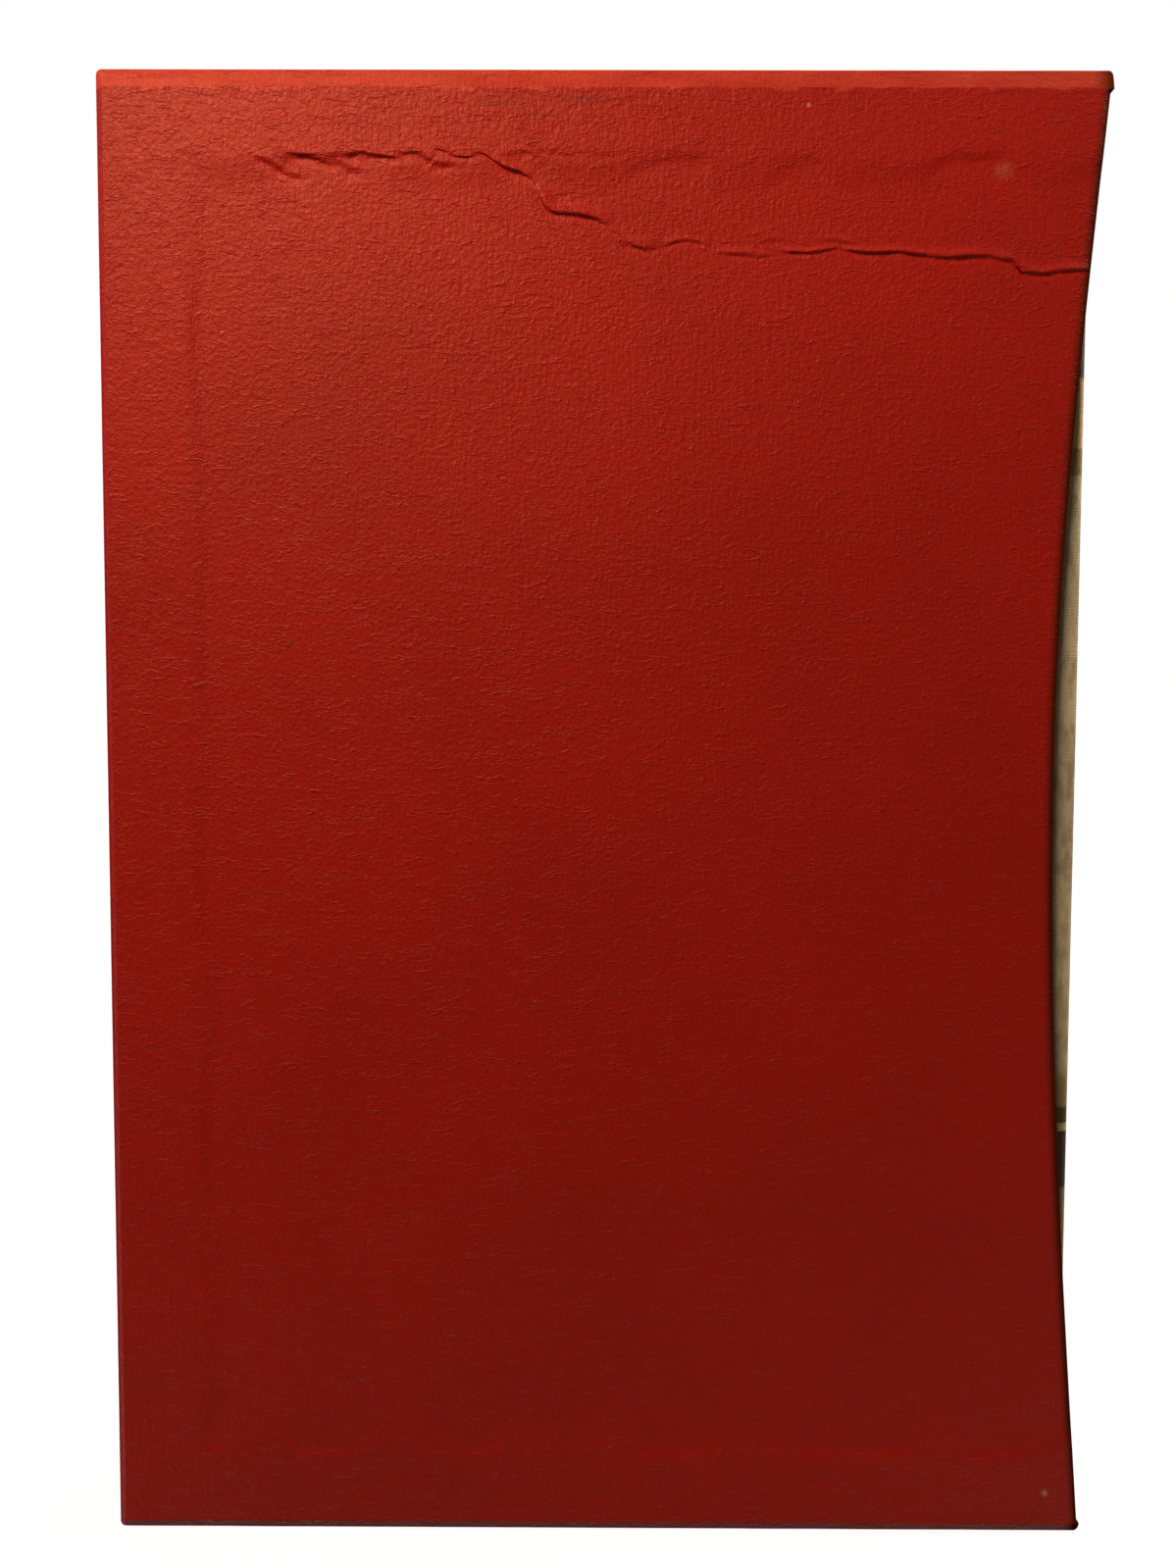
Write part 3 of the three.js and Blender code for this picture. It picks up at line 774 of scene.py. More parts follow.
@dataclass(frozen=True)
class BookCloth:
    """Tan book cloth with fields of colour across its spine."""

    bands: tuple[SpineBand, ...]
    band_start: float
    band_softness: float = 0.06
    end_softness: float = 0.05
    plain_from: float = 76.0
    plain_to: float = 180.0
    name: str = "tan_book_cloth"
    colour: Colour = (0.38, 0.25, 0.115)
    scuff_colour: Colour = (0.62, 0.5, 0.3)
    shoulder_scuff_and_light_colour: Colour = (0.85, 0.7, 0.45)
    shoulder_from: float = 11.4
    shoulder_to: float = 12.7
    roughness: float = 0.68
    gloss: float = 0.16
    thread: float = 0.42

    def material(self) -> bpy.types.Material:
        """Makes the material.

        Returns:
            The material.
        """
        nodes = FinishNodes(self.name)
        height = nodes.axis("Z")
        on_spine = nodes.ramp(nodes.axis("X"), self.band_start - self.end_softness,
                              self.band_start + self.end_softness)
        colour: object = self.colour
        for band in self.bands:
            inside = nodes.within(height, band.low, band.high, self.band_softness)
            colour = nodes.mix(nodes.maths("MULTIPLY", inside, on_spine), colour, band.colour)
        # The cloth on both shoulders at the plain heights is paled: partly scuffed wear, partly painted
        # light where the front shoulder is lit; worn below carries both.
        outward = nodes.maths("ABSOLUTE", nodes.axis("Y"))
        outward = nodes.ramp(outward, self.shoulder_from, self.shoulder_to)
        worn = nodes.ramp(nodes.grain((1.5, 1.5, 4), detail=4, roughness=0.6), 0.35, 0.6, 0.25, 0.7)
        worn = nodes.maths("MULTIPLY", nodes.maths("MULTIPLY", worn, outward), on_spine)
        plain = nodes.ramp(height, self.plain_from, self.plain_from + 6)
        plain = nodes.maths("MULTIPLY", plain, nodes.ramp(height, self.plain_to, self.plain_to - 0.5))
        colour = nodes.mix(nodes.maths("MULTIPLY", worn, plain), colour, self.shoulder_scuff_and_light_colour)
        scuffs = nodes.grain((1.2, 1.2, 5), detail=4, roughness=0.6, distortion=0.8)
        colour = nodes.mix(nodes.ramp(scuffs, 0.6, 0.76, 0.0, 0.22), colour, self.scuff_colour)
        colour = nodes.shade(colour, nodes.ramp(nodes.grain((20, 20, 26), detail=3), 0.3, 0.7, 0.85, 1.12))
        weave = self.weave(nodes)
        colour = nodes.shade(colour, nodes.ramp(weave, 0.0, 1.0, 0.88, 1.05))
        relief = nodes.bump(weave, 0.06)
        relief = nodes.bump(nodes.grain((0.8, 0.8, 0.8), detail=3), 0.05, relief)
        return nodes.finish(Base_Color=colour, Roughness=self.roughness, Normal=relief,
                            Specular_IOR_Level=self.gloss)

    def weave(self, nodes: FinishNodes) -> bpy.types.NodeSocket:
        """Gives fine threads that cross over and under each other.

        Args:
            nodes: The material's nodes.

        Returns:
            Height of the threads from 0 to 1.
        """
        threads = []
        for direction in ("Z", "X"):
            wobble = nodes.ramp(nodes.grain((2, 2, 2)), 0.0, 1.0, -0.3, 0.3)
            place = nodes.maths("ADD", nodes.axis(direction), wobble)
            turns = nodes.maths("MULTIPLY", place, 2 * math.pi / self.thread)
            threads.append(nodes.ramp(nodes.maths("SINE", turns), -1.0, 1.0))
        return nodes.maths("MULTIPLY", threads[0], threads[1])


@dataclass(frozen=True)
class PageEdges:
    """The cut edges of many leaves, one fine line for each."""

    name: str = "page_edges"
    colour: Colour = (0.74, 0.64, 0.46)
    shadow_colour: Colour = (0.36, 0.28, 0.17)
    leaf: float = 0.12

    def material(self) -> bpy.types.Material:
        """Makes the material.

        Returns:
            The material.
        """
        nodes = FinishNodes(self.name)
        sheets = nodes.grain((30, self.leaf * 1.6, 30), detail=2, roughness=0.7)
        gatherings = nodes.grain((60, 1.6, 60), detail=2)
        colour = nodes.mix(nodes.ramp(sheets, 0.5, 0.68, 0.0, 0.6), self.colour, self.shadow_colour)
        colour = nodes.shade(colour, nodes.ramp(gatherings, 0.35, 0.65, 0.85, 1.05))
        relief = nodes.bump(sheets, 0.12)
        return nodes.finish(Base_Color=colour, Roughness=0.85, Normal=relief)


@dataclass(frozen=True)
class PlainPaper:
    """Uncoated paper with a faint mottle."""

    name: str
    colour: Colour

    def material(self) -> bpy.types.Material:
        """Makes the material.

        Returns:
            The material.
        """
        nodes = FinishNodes(self.name)
        mottle = nodes.grain((7, 7, 7), detail=5, roughness=0.6)
        colour = nodes.mix(nodes.ramp(mottle, 0.3, 0.75, 0.0, 0.3), self.colour,
                           tuple(0.6 * part for part in self.colour))
        relief = nodes.bump(nodes.grain((0.3, 0.3, 0.3), detail=3), 0.02)
        return nodes.finish(Base_Color=colour, Roughness=0.88, Normal=relief)


@dataclass(frozen=True)
class SewnBand:
    """Two colours of thread sewn over a core, side by side."""

    name: str = "sewn_band"
    colour: Colour = (0.66, 0.55, 0.35)
    second_colour: Colour = (0.22, 0.035, 0.02)
    stitch: float = 1.1

    def material(self) -> bpy.types.Material:
        """Makes the material.

        Returns:
            The material.
        """
        nodes = FinishNodes(self.name)
        turns = nodes.maths("MULTIPLY", nodes.axis("Y"), 2 * math.pi / (2 * self.stitch))
        choice = nodes.ramp(nodes.maths("SINE", turns), -0.1, 0.1)
        colour = nodes.mix(choice, self.colour, self.second_colour)
        threads = nodes.grain((2, 0.25, 2), detail=1)
        relief = nodes.bump(threads, 0.08)
        return nodes.finish(Base_Color=colour, Roughness=0.7, Normal=relief)


def hang(name: str, data: bpy.types.ID) -> bpy.types.Object:
    """Puts a mesh, a lamp or a camera into the scene as an object.

    Args:
        name: The object's name.
        data: The mesh, lamp or camera.

    Returns:
        The object.
    """
    thing = bpy.data.objects.new(name, data)
    bpy.context.scene.collection.objects.link(thing)
    return thing


def aim(thing: bpy.types.Object, direction: Vector, roll: float = 0.0) -> None:
    """Turns a lamp or camera towards a direction, with a roll about it in degrees.

    Args:
        thing: The lamp or camera.
        direction: Where it points.
        roll: Its roll about that direction, in degrees.
    """
    turn = direction.to_track_quat("-Z", "Y")
    thing.rotation_mode = "QUATERNION"
    thing.rotation_quaternion = Quaternion(direction, math.radians(roll)) @ turn


def add_piece(name: str, mesh_source: bmesh.types.BMesh, material: bpy.types.Material, body: Body,
              slot: Slot, replaced: Iterable[str], smooth_angle: float = 35.0) -> bpy.types.Object:
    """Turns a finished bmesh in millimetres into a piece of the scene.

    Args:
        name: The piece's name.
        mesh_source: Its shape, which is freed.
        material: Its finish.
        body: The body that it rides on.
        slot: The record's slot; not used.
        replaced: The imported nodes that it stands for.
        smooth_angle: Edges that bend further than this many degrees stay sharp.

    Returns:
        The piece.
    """
    for face in mesh_source.faces:
        face.smooth = True
    for edge in mesh_source.edges:
        edge.smooth = edge.calc_face_angle(0.0) < math.radians(smooth_angle)
    bmesh.ops.scale(mesh_source, vec=(MILLIMETRE,) * 3, verts=mesh_source.verts)
    mesh = bpy.data.meshes.new(name)
    mesh_source.to_mesh(mesh)
    mesh_source.free()
    mesh.materials.append(material)
    piece = hang(name, mesh)
    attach(piece, body.value)
    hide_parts(*replaced)
    logger.info("%s: %d faces on %s", name, len(mesh.polygons), body.value)
    return piece


def dress_node(node: str, material: bpy.types.Material) -> None:
    """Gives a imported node, whose shape is kept, its finish.

    Args:
        node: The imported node's name.
        material: Its finish.
    """
    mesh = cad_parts[node].data
    mesh.materials.clear()
    mesh.materials.append(material)
    logger.info("%s: packed shape, dressed in %s", node, material.name)


PALE_WEAR = (0.62, 0.3, 0.16)
DARK_SOIL = (0.07, 0.004, 0.002)
FRONT_BLEMISHES = (
    Blemish((75.9, -17.0, 7.5), 0.9, PALE_WEAR, 0.75),
    Blemish((32.8, -16.9, 237.8), 0.5, PALE_WEAR, 0.7),
    Blemish((64.5, -17.0, 227.8), 2.2, PALE_WEAR, 0.16),
    Blemish((-51.6, -16.7, 151.1), 1.0, DARK_SOIL, 0.5, 1.7),
    Blemish((-17.0, -16.9, 238.2), 1.2, DARK_SOIL, 0.4, 5.5),
    Blemish((-3.0, -16.9, 238.6), 1.3, DARK_SOIL, 0.45, 7.0),
    Blemish((-11.0, -16.9, 236.4), 1.0, DARK_SOIL, 0.3, 8.0),
    Blemish((24.4, -16.7, 168.3), 0.7, DARK_SOIL, 0.4),
    Blemish((29.2, -16.7, 140.2), 0.6, DARK_SOIL, 0.35),
)


@dataclass
class SideSheet:
    """Side sheet of the case: over the board, round the mouth edge and turned in behind it."""

    case: CaseSizes
    side: Side
    creases: tuple[Crease, ...] = ()
    face_columns: list[float] = field(default_factory=lambda: stations((0, 1, 60)))
    rounding_steps: int = 5
    undulation: float = 0.07
    undulation_waves: tuple[float, float] = (28.0, 34.0)
    level_end: float = 6.0
    deepest_dip: float = 0.31
    least_wall: float = 0.05
    rows: list[float] = field(default_factory=list)
    crease_zone: tuple[float, float] = (208.0, 236.0)
    gathering: float = 1.5
    creased_depths: tuple[float, float] = (8.0, 38.0)
    turned_reach: float = 2.2

    @property
    def node(self) -> str:
        """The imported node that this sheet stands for."""
        return "case_front_sheet" if self.side is Side.FRONT else "case_back_sheet"

    @property
    def tail_edge(self) -> float:
        """Height of the lower edge of the sheet."""
        return self.case.tail_margin

    @property
    def head_edge(self) -> float:
        """Height of the upper edge of the sheet."""
        return self.case.height - self.case.head_margin

    def place(self, section: float, height: float) -> Vector:
        """Gives a point of the outer surface.

        Args:
            section: 0 to 1 over the face, to 2 round the edge, to 3 across it, to 4 round behind it
                and to 5 along the turn-in.
            height: Height on the face, between its lower and upper edge.

        Returns:
            The point, for the side that faces -Y, before the sheet is sunk.
        """
        case = self.case
        radius = case.mouth_rounding
        start = case.closed_end + case.end_margin
        x = between(start, case.mouth_at(height) - radius, min(1.0, section))
        height = self.gathered(x, height)
        mouth = case.mouth_at(height)
        turned_in_end = case.mouth_at(case.height / 2 + case.thumb_rise) - radius - case.turn_in
        face = case.sheet_face
        back = case.sheet_back
        if section <= 1:
            return Vector((between(start, mouth - radius, section), -face, height))
        if section <= 2:
            turn = (section - 1) * QUARTER_TURN
            x = mouth - radius + radius * math.sin(turn)
            return Vector((x, -(face - radius + radius * math.cos(turn)), height))
        if section <= 3:
            return Vector((mouth, -between(face - radius, back + radius, section - 2), height))
        inner = between(self.inner_tail, self.inner_head,
                        (height - self.tail_edge) / (self.head_edge - self.tail_edge))
        height = between(height, inner, smooth(section - 3))
        if section <= 4:
            turn = (section - 3) * QUARTER_TURN
            x = mouth - radius + radius * math.cos(turn)
            return Vector((x, -(back + radius - radius * math.sin(turn)), height))
        return Vector((between(mouth - radius, turned_in_end, section - 4), -back, height))

    @property
    def inner_tail(self) -> float:
        """Lower end of the turn-in, clear of the tail panel."""
        return self.case.panel_depth + self.case.fit

    @property
    def inner_head(self) -> float:
        """Upper end of the turn-in, clear of the head panel."""
        return self.case.height - self.inner_tail

    def gathered(self, x: float, height: float) -> float:
        """Draws the rows of vertices near the main crease together, along its line.

        Args:
            x: Place across the sheet.
            height: Height of the row before it is moved.

        Returns:
            Its new height at that place.
        """
        low, high = self.crease_zone
        if not self.creases or not low < height < high:
            return height
        middle = (low + high) / 2
        fold = self.case.height - fold_line(self.case.side_corner - x)
        if height < middle:
            share = (middle - height) / (middle - low)
            return between(fold, low, share ** self.gathering)
        share = (height - middle) / (high - middle)
        return between(fold, high, share ** self.gathering)

    def sunk(self, x: float, z: float) -> float:
        """Gives how far the sheet lies under its highest face: its step and waves, less its creases.

        Args:
            x: Place across the sheet.
            z: Height above the foot.

        Returns:
            Depth under the highest face.
        """
        case = self.case
        wave = 0.5 + 0.5 * drift(x, z, self.undulation_waves, self.side.value * 5.3)
        lapped = case.lap_step(x, z)
        past_end = x - case.closed_end - case.end_margin
        depth = lapped + self.undulation * wave * smooth(past_end / self.level_end)
        across = case.side_corner - x
        down = case.height - z
        if self.creased_depths[0] < down < self.creased_depths[1]:
            depth -= sum(crease.height_at(across, down) for crease in self.creases)
        return min(max(0.0, depth), lapped + self.deepest_dip)

    def sink(self, vertex: bmesh.types.BMVert, outside: bool) -> None:
        """Lowers a point of the thickened sheet over the board, less and less round the mouth edge.

        Args:
            vertex: The point.
            outside: Whether it lies on the outer surface.
        """
        case = self.case
        wall = 0.0 if outside else case.paper
        share = 1 - (case.sheet_face - wall - abs(vertex.co.y)) / (case.mouth_rounding - wall)
        if share <= 0:
            return
        depth = self.sunk(vertex.co.x, vertex.co.z)
        if not outside:
            depth = max(case.lap_step(vertex.co.x, vertex.co.z), depth - case.paper + self.least_wall)
        vertex.co.y += min(1.0, share) * depth

    def build(self, material: bpy.types.Material) -> bpy.types.Object:
        """Makes the sheet and dresses it.

        Args:
            material: Its paper.

        Returns:
            The piece.
        """
        columns = self.face_columns + stations(
            (1, 2, self.rounding_steps), (2, 3, 1), (3, 4, self.rounding_steps), (4, 5, 4),
        )[1:]
        sheet = mapped_grid(columns, self.rows, self.place)
        bmesh.ops.remove_doubles(sheet, verts=sheet.verts, dist=MERGE_DISTANCE)
        outer = set(sheet.verts)
        bmesh.ops.solidify(sheet, geom=sheet.faces[:], thickness=self.case.paper)
        for vertex in sheet.verts:
            self.sink(vertex, vertex in outer)
        mark_turned(sheet, lambda point: self.case.mouth_at(point.z), self.turned_reach)
        if self.side is Side.BACK:
            turn_to_back(sheet)
        name = self.node.replace("case_", "") + "_paper"
        return add_piece(name, sheet, material, Body.SLIPCASE, Slot.CASE_PAPER, [self.node])


@dataclass
class WrapStrip:
    """Strip of paper round tail, closed end and head, turned over both sides and in at the mouth."""

    case: CaseSizes
    corner: float = 1.0
    least_corner: float = 0.05
    mouth_corner: float = 1.1
    edge_round: float = 0.5
    edge_drop: float = 0.62
    edge_curve: float = 1.2
    edge_depth: float = 0.6
    flap_clearance: float = 1.6
    wear: float = 0.12
    wear_waves: tuple[float, float] = (7.0, 7.0)
    turned_reach: float = 1.6

    def inset(self, margin: float, section: float) -> float:
        """Gives how far in from an outer edge a point of the section lies.

        Args:
            margin: Width of strip left showing beside the side sheet.
            section: 0 to 1 under the side sheet, to 2 over the part left showing, to 3 round the
                edge, to 4 as far as the board behind it and to 5 across to the other board.

        Returns:
            The distance in.
        """
        if section <= 1:
            return between(self.case.lap, margin, section)
        if section <= 2:
            return between(margin, self.edge_round, section - 1)
        return self.edge_round * (1 - math.sin(min(1.0, section - 2) * QUARTER_TURN))

    def half_width(self, section: float) -> float:
        """Gives the distance from the middle plane of a point of the section.

        Args:
            section: As in inset.

        Returns:
            The distance, negative past the middle plane.
        """
        face = self.case.strip_face
        board_back = self.case.board_back
        if section <= 2:
            return face - self.edge_drop * max(0.0, section - 1) ** self.edge_curve
        edge = face - self.edge_drop - self.edge_depth
        if section <= 3:
            return edge + self.edge_depth * math.cos((section - 2) * QUARTER_TURN)
        if section <= 4:
            return between(edge, board_back, section - 3)
        return between(board_back, -board_back, section - 4)

    def mouth_end(self, inset: float, height: float, section: float) -> float:
        """Gives X of the end of the strip at the mouth, over a side board.

        Args:
            inset: How far in from the head or tail the point lies.
            height: Its height above the foot.
            section: As in inset.

        Returns:
            X of the end.
        """
        if section < 1:
            return self.case.mouth_at(height) - self.flap_clearance
        rise = max(0.0, 1 - inset / self.mouth_corner)
        return self.case.side_corner - self.mouth_corner * (1 - math.sqrt(1 - rise * rise))

    def hook(self, step: float) -> tuple[float, float]:
        """Gives X and depth along the turn-in round the nose of a panel, from its inner end at 0 to 4.

        Args:
            step: 0 to 1 along the inside, to 2 round the inner edge, to 3 down the nose and to 4 round the
                outer edge.

        Returns:
            X, and the depth in from the head or tail.
        """
        case = self.case
        radius = case.mouth_rounding
        turn = step % 1 * QUARTER_TURN
        if step <= 1:
            return between(case.nose - case.turn_in, case.nose - radius, step), case.panel_depth
        if step < 2:
            return (case.nose - radius * (1 - math.sin(turn)),
                    case.panel_depth - radius * (1 - math.cos(turn)))
        if step <= 3:
            return case.nose, between(case.panel_depth - radius, radius, step - 2)
        turn = (step - 3) * QUARTER_TURN
        return case.nose - radius * (1 - math.cos(turn)), radius * (1 - math.sin(turn))

    def place(self, run: float, section: float) -> Vector:
        """Gives a point of the outside of the strip.

        Args:
            run: 0 to 4 round the nose of the tail panel, to 5 along the tail, to 6 round the corner,
                to 7 up the closed end, to 8 round the corner, to 9 along the head and to 13 round
                the nose of the head panel.
            section: As in inset, and mirrored past 4.5 for the back half.

        Returns:
            The point.
        """
        case = self.case
        in_front = section <= 4.5
        half = section if in_front else 9 - section
        at_tail = run <= 6.5
        step = run if at_tail else 13 - run
        inset = self.inset(case.tail_margin if at_tail else case.head_margin, half)
        end_inset = self.inset(case.end_margin, half)
        reach = self.half_width(half)
        corner_x = max(self.least_corner, self.corner - end_inset)
        corner_z = max(self.least_corner, self.corner - inset)
        turning = case.closed_end + end_inset + corner_x
        height = inset if at_tail else case.height - inset
        start = case.nose - case.mouth_rounding if half >= 4 else self.mouth_end(inset, height, half)
        if step <= 4 and half >= 4:
            x, depth = self.hook(step)
        elif step <= 5:
            x, depth = between(start, turning, max(0.0, step - 4)), inset
            if step < 4:
                reach = between(case.board_back + 0.05, reach, step - 3)
        elif step <= 6:
            turn = (step - 5) * QUARTER_TURN
            x, depth = turning - corner_x * math.sin(turn), inset + corner_z * (1 - math.cos(turn))
        else:
            x = case.closed_end + end_inset
            depth = between(inset + corner_z, case.height / 2, 2 * step - 12)
        z = depth if at_tail else case.height - depth
        if 1 < half < 3:
            worn = 0.5 + 0.5 * drift(x, z, self.wear_waves, 2.6)
            reach -= self.wear * worn * math.sin((half - 1) * QUARTER_TURN)
        return Vector((x, -reach if in_front else reach, z))

    def mouth_edge(self, point: Vector) -> float:
        """Gives X of the mouth end of the strip beside a point: a panel's nose or a side's corner."""
        return self.case.nose if abs(point.y) <= self.case.board_back else self.case.side_corner

    def left_out(self, run: float, section: float) -> bool:
        """Tells whether a face past the mouth end of the strip has no board or panel to cover.

        Args:
            run: As in place.
            section: As in place.

        Returns:
            Whether the face is left out.
        """
        past = max(4 - run, run - 9)
        if past <= 0 or 4 < section < 5:
            return False
        half = min(section, 9 - section)
        return past > 1 or not 1 < half < 3

    def build(self, material: bpy.types.Material) -> bpy.types.Object:
        """Makes the strip and dresses it.

        Args:
            material: Its paper.

        Returns:
            The piece.
        """
        runs = stations((0, 1, 3), (1, 2, 5), (2, 3, 1), (3, 4, 5), (4, 5, 48), (5, 6, 6), (6, 7, 72),
                        (7, 8, 6), (8, 9, 48), (9, 10, 5), (10, 11, 1), (11, 12, 5), (12, 13, 3))
        sections = stations((0, 0.98, 2), (0.98, 1, 1), (1, 2, 7), (2, 3, 5), (3, 4, 2), (4, 5, 8),
                            (5, 6, 2), (6, 7, 5), (7, 8, 7), (8, 8.02, 1), (8.02, 9, 2))
        strip = mapped_grid(runs, sections, self.place, self.left_out)
        thicken(strip, self.case.paper)
        mark_turned(strip, self.mouth_edge, self.turned_reach)
        return add_piece("wrap_strip_paper", strip, material, Body.SLIPCASE, Slot.CASE_PAPER,
                         ["case_wrap_strip"])


@dataclass
class Slipcase:
    """The case: boards, wrap strip and side sheets."""

    sizes: CaseSizes
    board_nodes: tuple[str, ...] = (
        "case_front_board", "case_back_board", "case_head_board", "case_tail_board", "case_end_board",
    )
    front_paper: CasePaper = CasePaper(rub_and_sheen_height=240.7, blemishes=FRONT_BLEMISHES)
    strip_paper: CasePaper = CasePaper("rub_and_sheen_case_paper", rub_and_sheen_height=240.0, gloss=0.14)
    board: Millboard = Millboard("case_millboard", (0.34, 0.27, 0.19))

    def build(self) -> None:
        """Makes and dresses every piece of the case."""
        board = self.board.material()
        for node in self.board_nodes:
            dress_node(node, board)
        paper = self.front_paper.material()
        WrapStrip(self.sizes).build(self.strip_paper.material())
        self.front_sheet().build(paper)
        self.back_sheet().build(paper)

    def front_sheet(self) -> SideSheet:
        """The creased front sheet, finest where the creases run.

        Returns:
            The sheet, not built yet.
        """
        size = self.sizes
        head = size.height - size.head_margin
        zone_low, zone_high = SideSheet.crease_zone
        rows = stations((size.tail_margin, size.lap, 6), (size.lap, size.lap + 2, 3),
                        (size.lap + 2, zone_low, 80), (zone_low, zone_high, 92), (zone_high, head, 3))
        face_columns = stations((0, 0.4, 120), (0.4, 1, 112))
        return SideSheet(size, Side.FRONT, FRONT_CREASES, face_columns=face_columns, rows=rows)

    def back_sheet(self) -> SideSheet:
        """The plain back sheet.

        Returns:
            The sheet, not built yet.
        """
        size = self.sizes
        head = size.height - size.head_margin
        lap_line = size.height - size.lap
        rows = stations((size.tail_margin, size.lap, 6), (size.lap, size.lap + 1, 3),
                        (size.lap + 1, lap_line - 1, 72), (lap_line - 1, lap_line, 3), (lap_line, head, 6))
        return SideSheet(size, Side.BACK, rows=rows)


@dataclass(frozen=True)
class BookSizes:
    """Sizes of the book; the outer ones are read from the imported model."""

    fore_edge: float
    crest: float
    half: float
    foot: float
    head: float
    covering: float = 0.4
    board: float = 2.5
    turn_in: float = 15.0
    joint_width: float = 7.0
    joint_depth: float = 1.6
    shoulder_width: float = 3.4
    shoulder_rounding: float = 1.6
    spine_round: float = 2.7
    spine_card: float = 0.8

    @classmethod
    def from_frame(cls) -> BookSizes:
        """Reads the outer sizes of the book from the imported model.

        Returns:
            The sizes of the book.
        """
        low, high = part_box("book_covering")
        return cls(
            fore_edge=low.x / MILLIMETRE,
            crest=high.x / MILLIMETRE,
            half=high.y / MILLIMETRE,
            foot=low.z / MILLIMETRE,
            head=high.z / MILLIMETRE,
        )

    @property
    def shoulder(self) -> float:
        """X where the round of the spine starts."""
        return self.crest - self.spine_round

    @property
    def board_spine_edge(self) -> float:
        """X of the edge of a board beside the joint."""
        return self.shoulder - self.shoulder_width - self.joint_width

    @property
    def cover_inside(self) -> float:
        """Distance of the inside of a covered board from the middle plane."""
        return self.half - 2 * self.covering - self.board

    @property
    def spine_radius(self) -> float:
        """Radius of the outside of the spine."""
        return (self.half ** 2 + self.spine_round ** 2) / (2 * self.spine_round)


@dataclass
class SpineCloth:
    """The covering over both joints and the spine, turned in at head and tail."""

    book: BookSizes
    fold_round: float = 0.5
    slack: float = 0.1
    shoulder_flat: float = 0.4
    card_ramp: float = 0.2

    def outline(self, section: float) -> tuple[Vector, Vector]:
        """Gives a point of the front half of the section.

        Args:
            section: 0 to 1 through the joint, to 2 over the shoulder and to 3 over half the spine.

        Returns:
            The point in X and Y, and the direction out of the book.
        """
        book = self.book
        if section <= 1:
            turn = 2 * math.pi * section
            dip = book.joint_depth * (1 - math.cos(turn)) / 2
            slope = book.joint_depth * math.pi * math.sin(turn) / book.joint_width
            point = Vector((book.board_spine_edge + book.joint_width * section, -book.half + dip))
            return point, Vector((slope, -1)).normalized()
        centre = book.crest - book.spine_radius
        half = book.half - book.shoulder_rounding
        limit = math.asin(half / book.spine_radius)
        if section >= 2:
            turn = limit * (3 - section)
            out = Vector((math.cos(turn), -math.sin(turn)))
            return Vector((centre, 0)) + book.spine_radius * out, out
        crown = Vector((centre + book.spine_radius * math.cos(limit), -half))
        start = Vector((crown.x - book.shoulder_rounding, -book.half))
        if section < 1 + self.shoulder_flat:
            joint_end = Vector((book.board_spine_edge + book.joint_width, -book.half))
            return joint_end.lerp(start, (section - 1) / self.shoulder_flat), Vector((0, -1))
        step = (section - 1 - self.shoulder_flat) / (1 - self.shoulder_flat)
        bend = Vector((crown.x - book.shoulder_rounding * math.tan(limit), -book.half))
        first = start.lerp(bend, step)
        second = bend.lerp(crown, step)
        along = (second - first).normalized()
        return first.lerp(second, step), Vector((along.y, -along.x))

    def place(self, section: float, rise: float) -> Vector:
        """Gives a point of the outside of the covering.

        Args:
            section: As in outline, and mirrored past 3 for the back half.
            rise: 0 to 1 down the turn-in at the tail, to 2 round the edge, to 3 up the outside, to 4
                round the head and to 5 down the turn-in there.

        Returns:
            The point.
        """
        book = self.book
        in_front = section <= 3
        point, out = self.outline(section if in_front else 6 - section)
        half = section if in_front else 6 - section
        depth = 2 * book.covering + self.slack + book.spine_card * smooth((half - 2) / self.card_ramp)
        at_tail = rise <= 2.5
        step = rise if at_tail else 5 - rise
        behind = 0.0
        if step <= 1:
            behind, lift = depth, between(book.turn_in, self.fold_round, step)
        elif step <= 2:
            turn = (step - 1) * math.pi
            behind, lift = depth * (1 + math.cos(turn)) / 2, self.fold_round * (1 - math.sin(turn))
        else:
            lift = between(self.fold_round, (book.head - book.foot) / 2, 2 * step - 4)
        flat = point - out * behind
        return Vector((flat.x, flat.y if in_front else -flat.y,
                       book.foot + lift if at_tail else book.head - lift))

    def build(self, material: bpy.types.Material) -> bpy.types.Object:
        """Makes the covering of the spine and dresses it.

        Args:
            material: Its cloth.

        Returns:
            The piece.
        """
        sections = stations((0, 1, 16), (1, 1.4, 2), (1.4, 2, 8), (2, 4, 48), (4, 4.6, 8), (4.6, 5, 2),
                            (5, 6, 16))
        rises = stations((0, 1, 3), (1, 2, 8), (2, 3, 60), (3, 4, 8), (4, 5, 3))
        cloth = mapped_grid(sections, rises, self.place)
        thicken(cloth, self.book.covering)
        return add_piece("spine_cloth", cloth, material, Body.BOOK, Slot.COVERING, ["book_covering"])


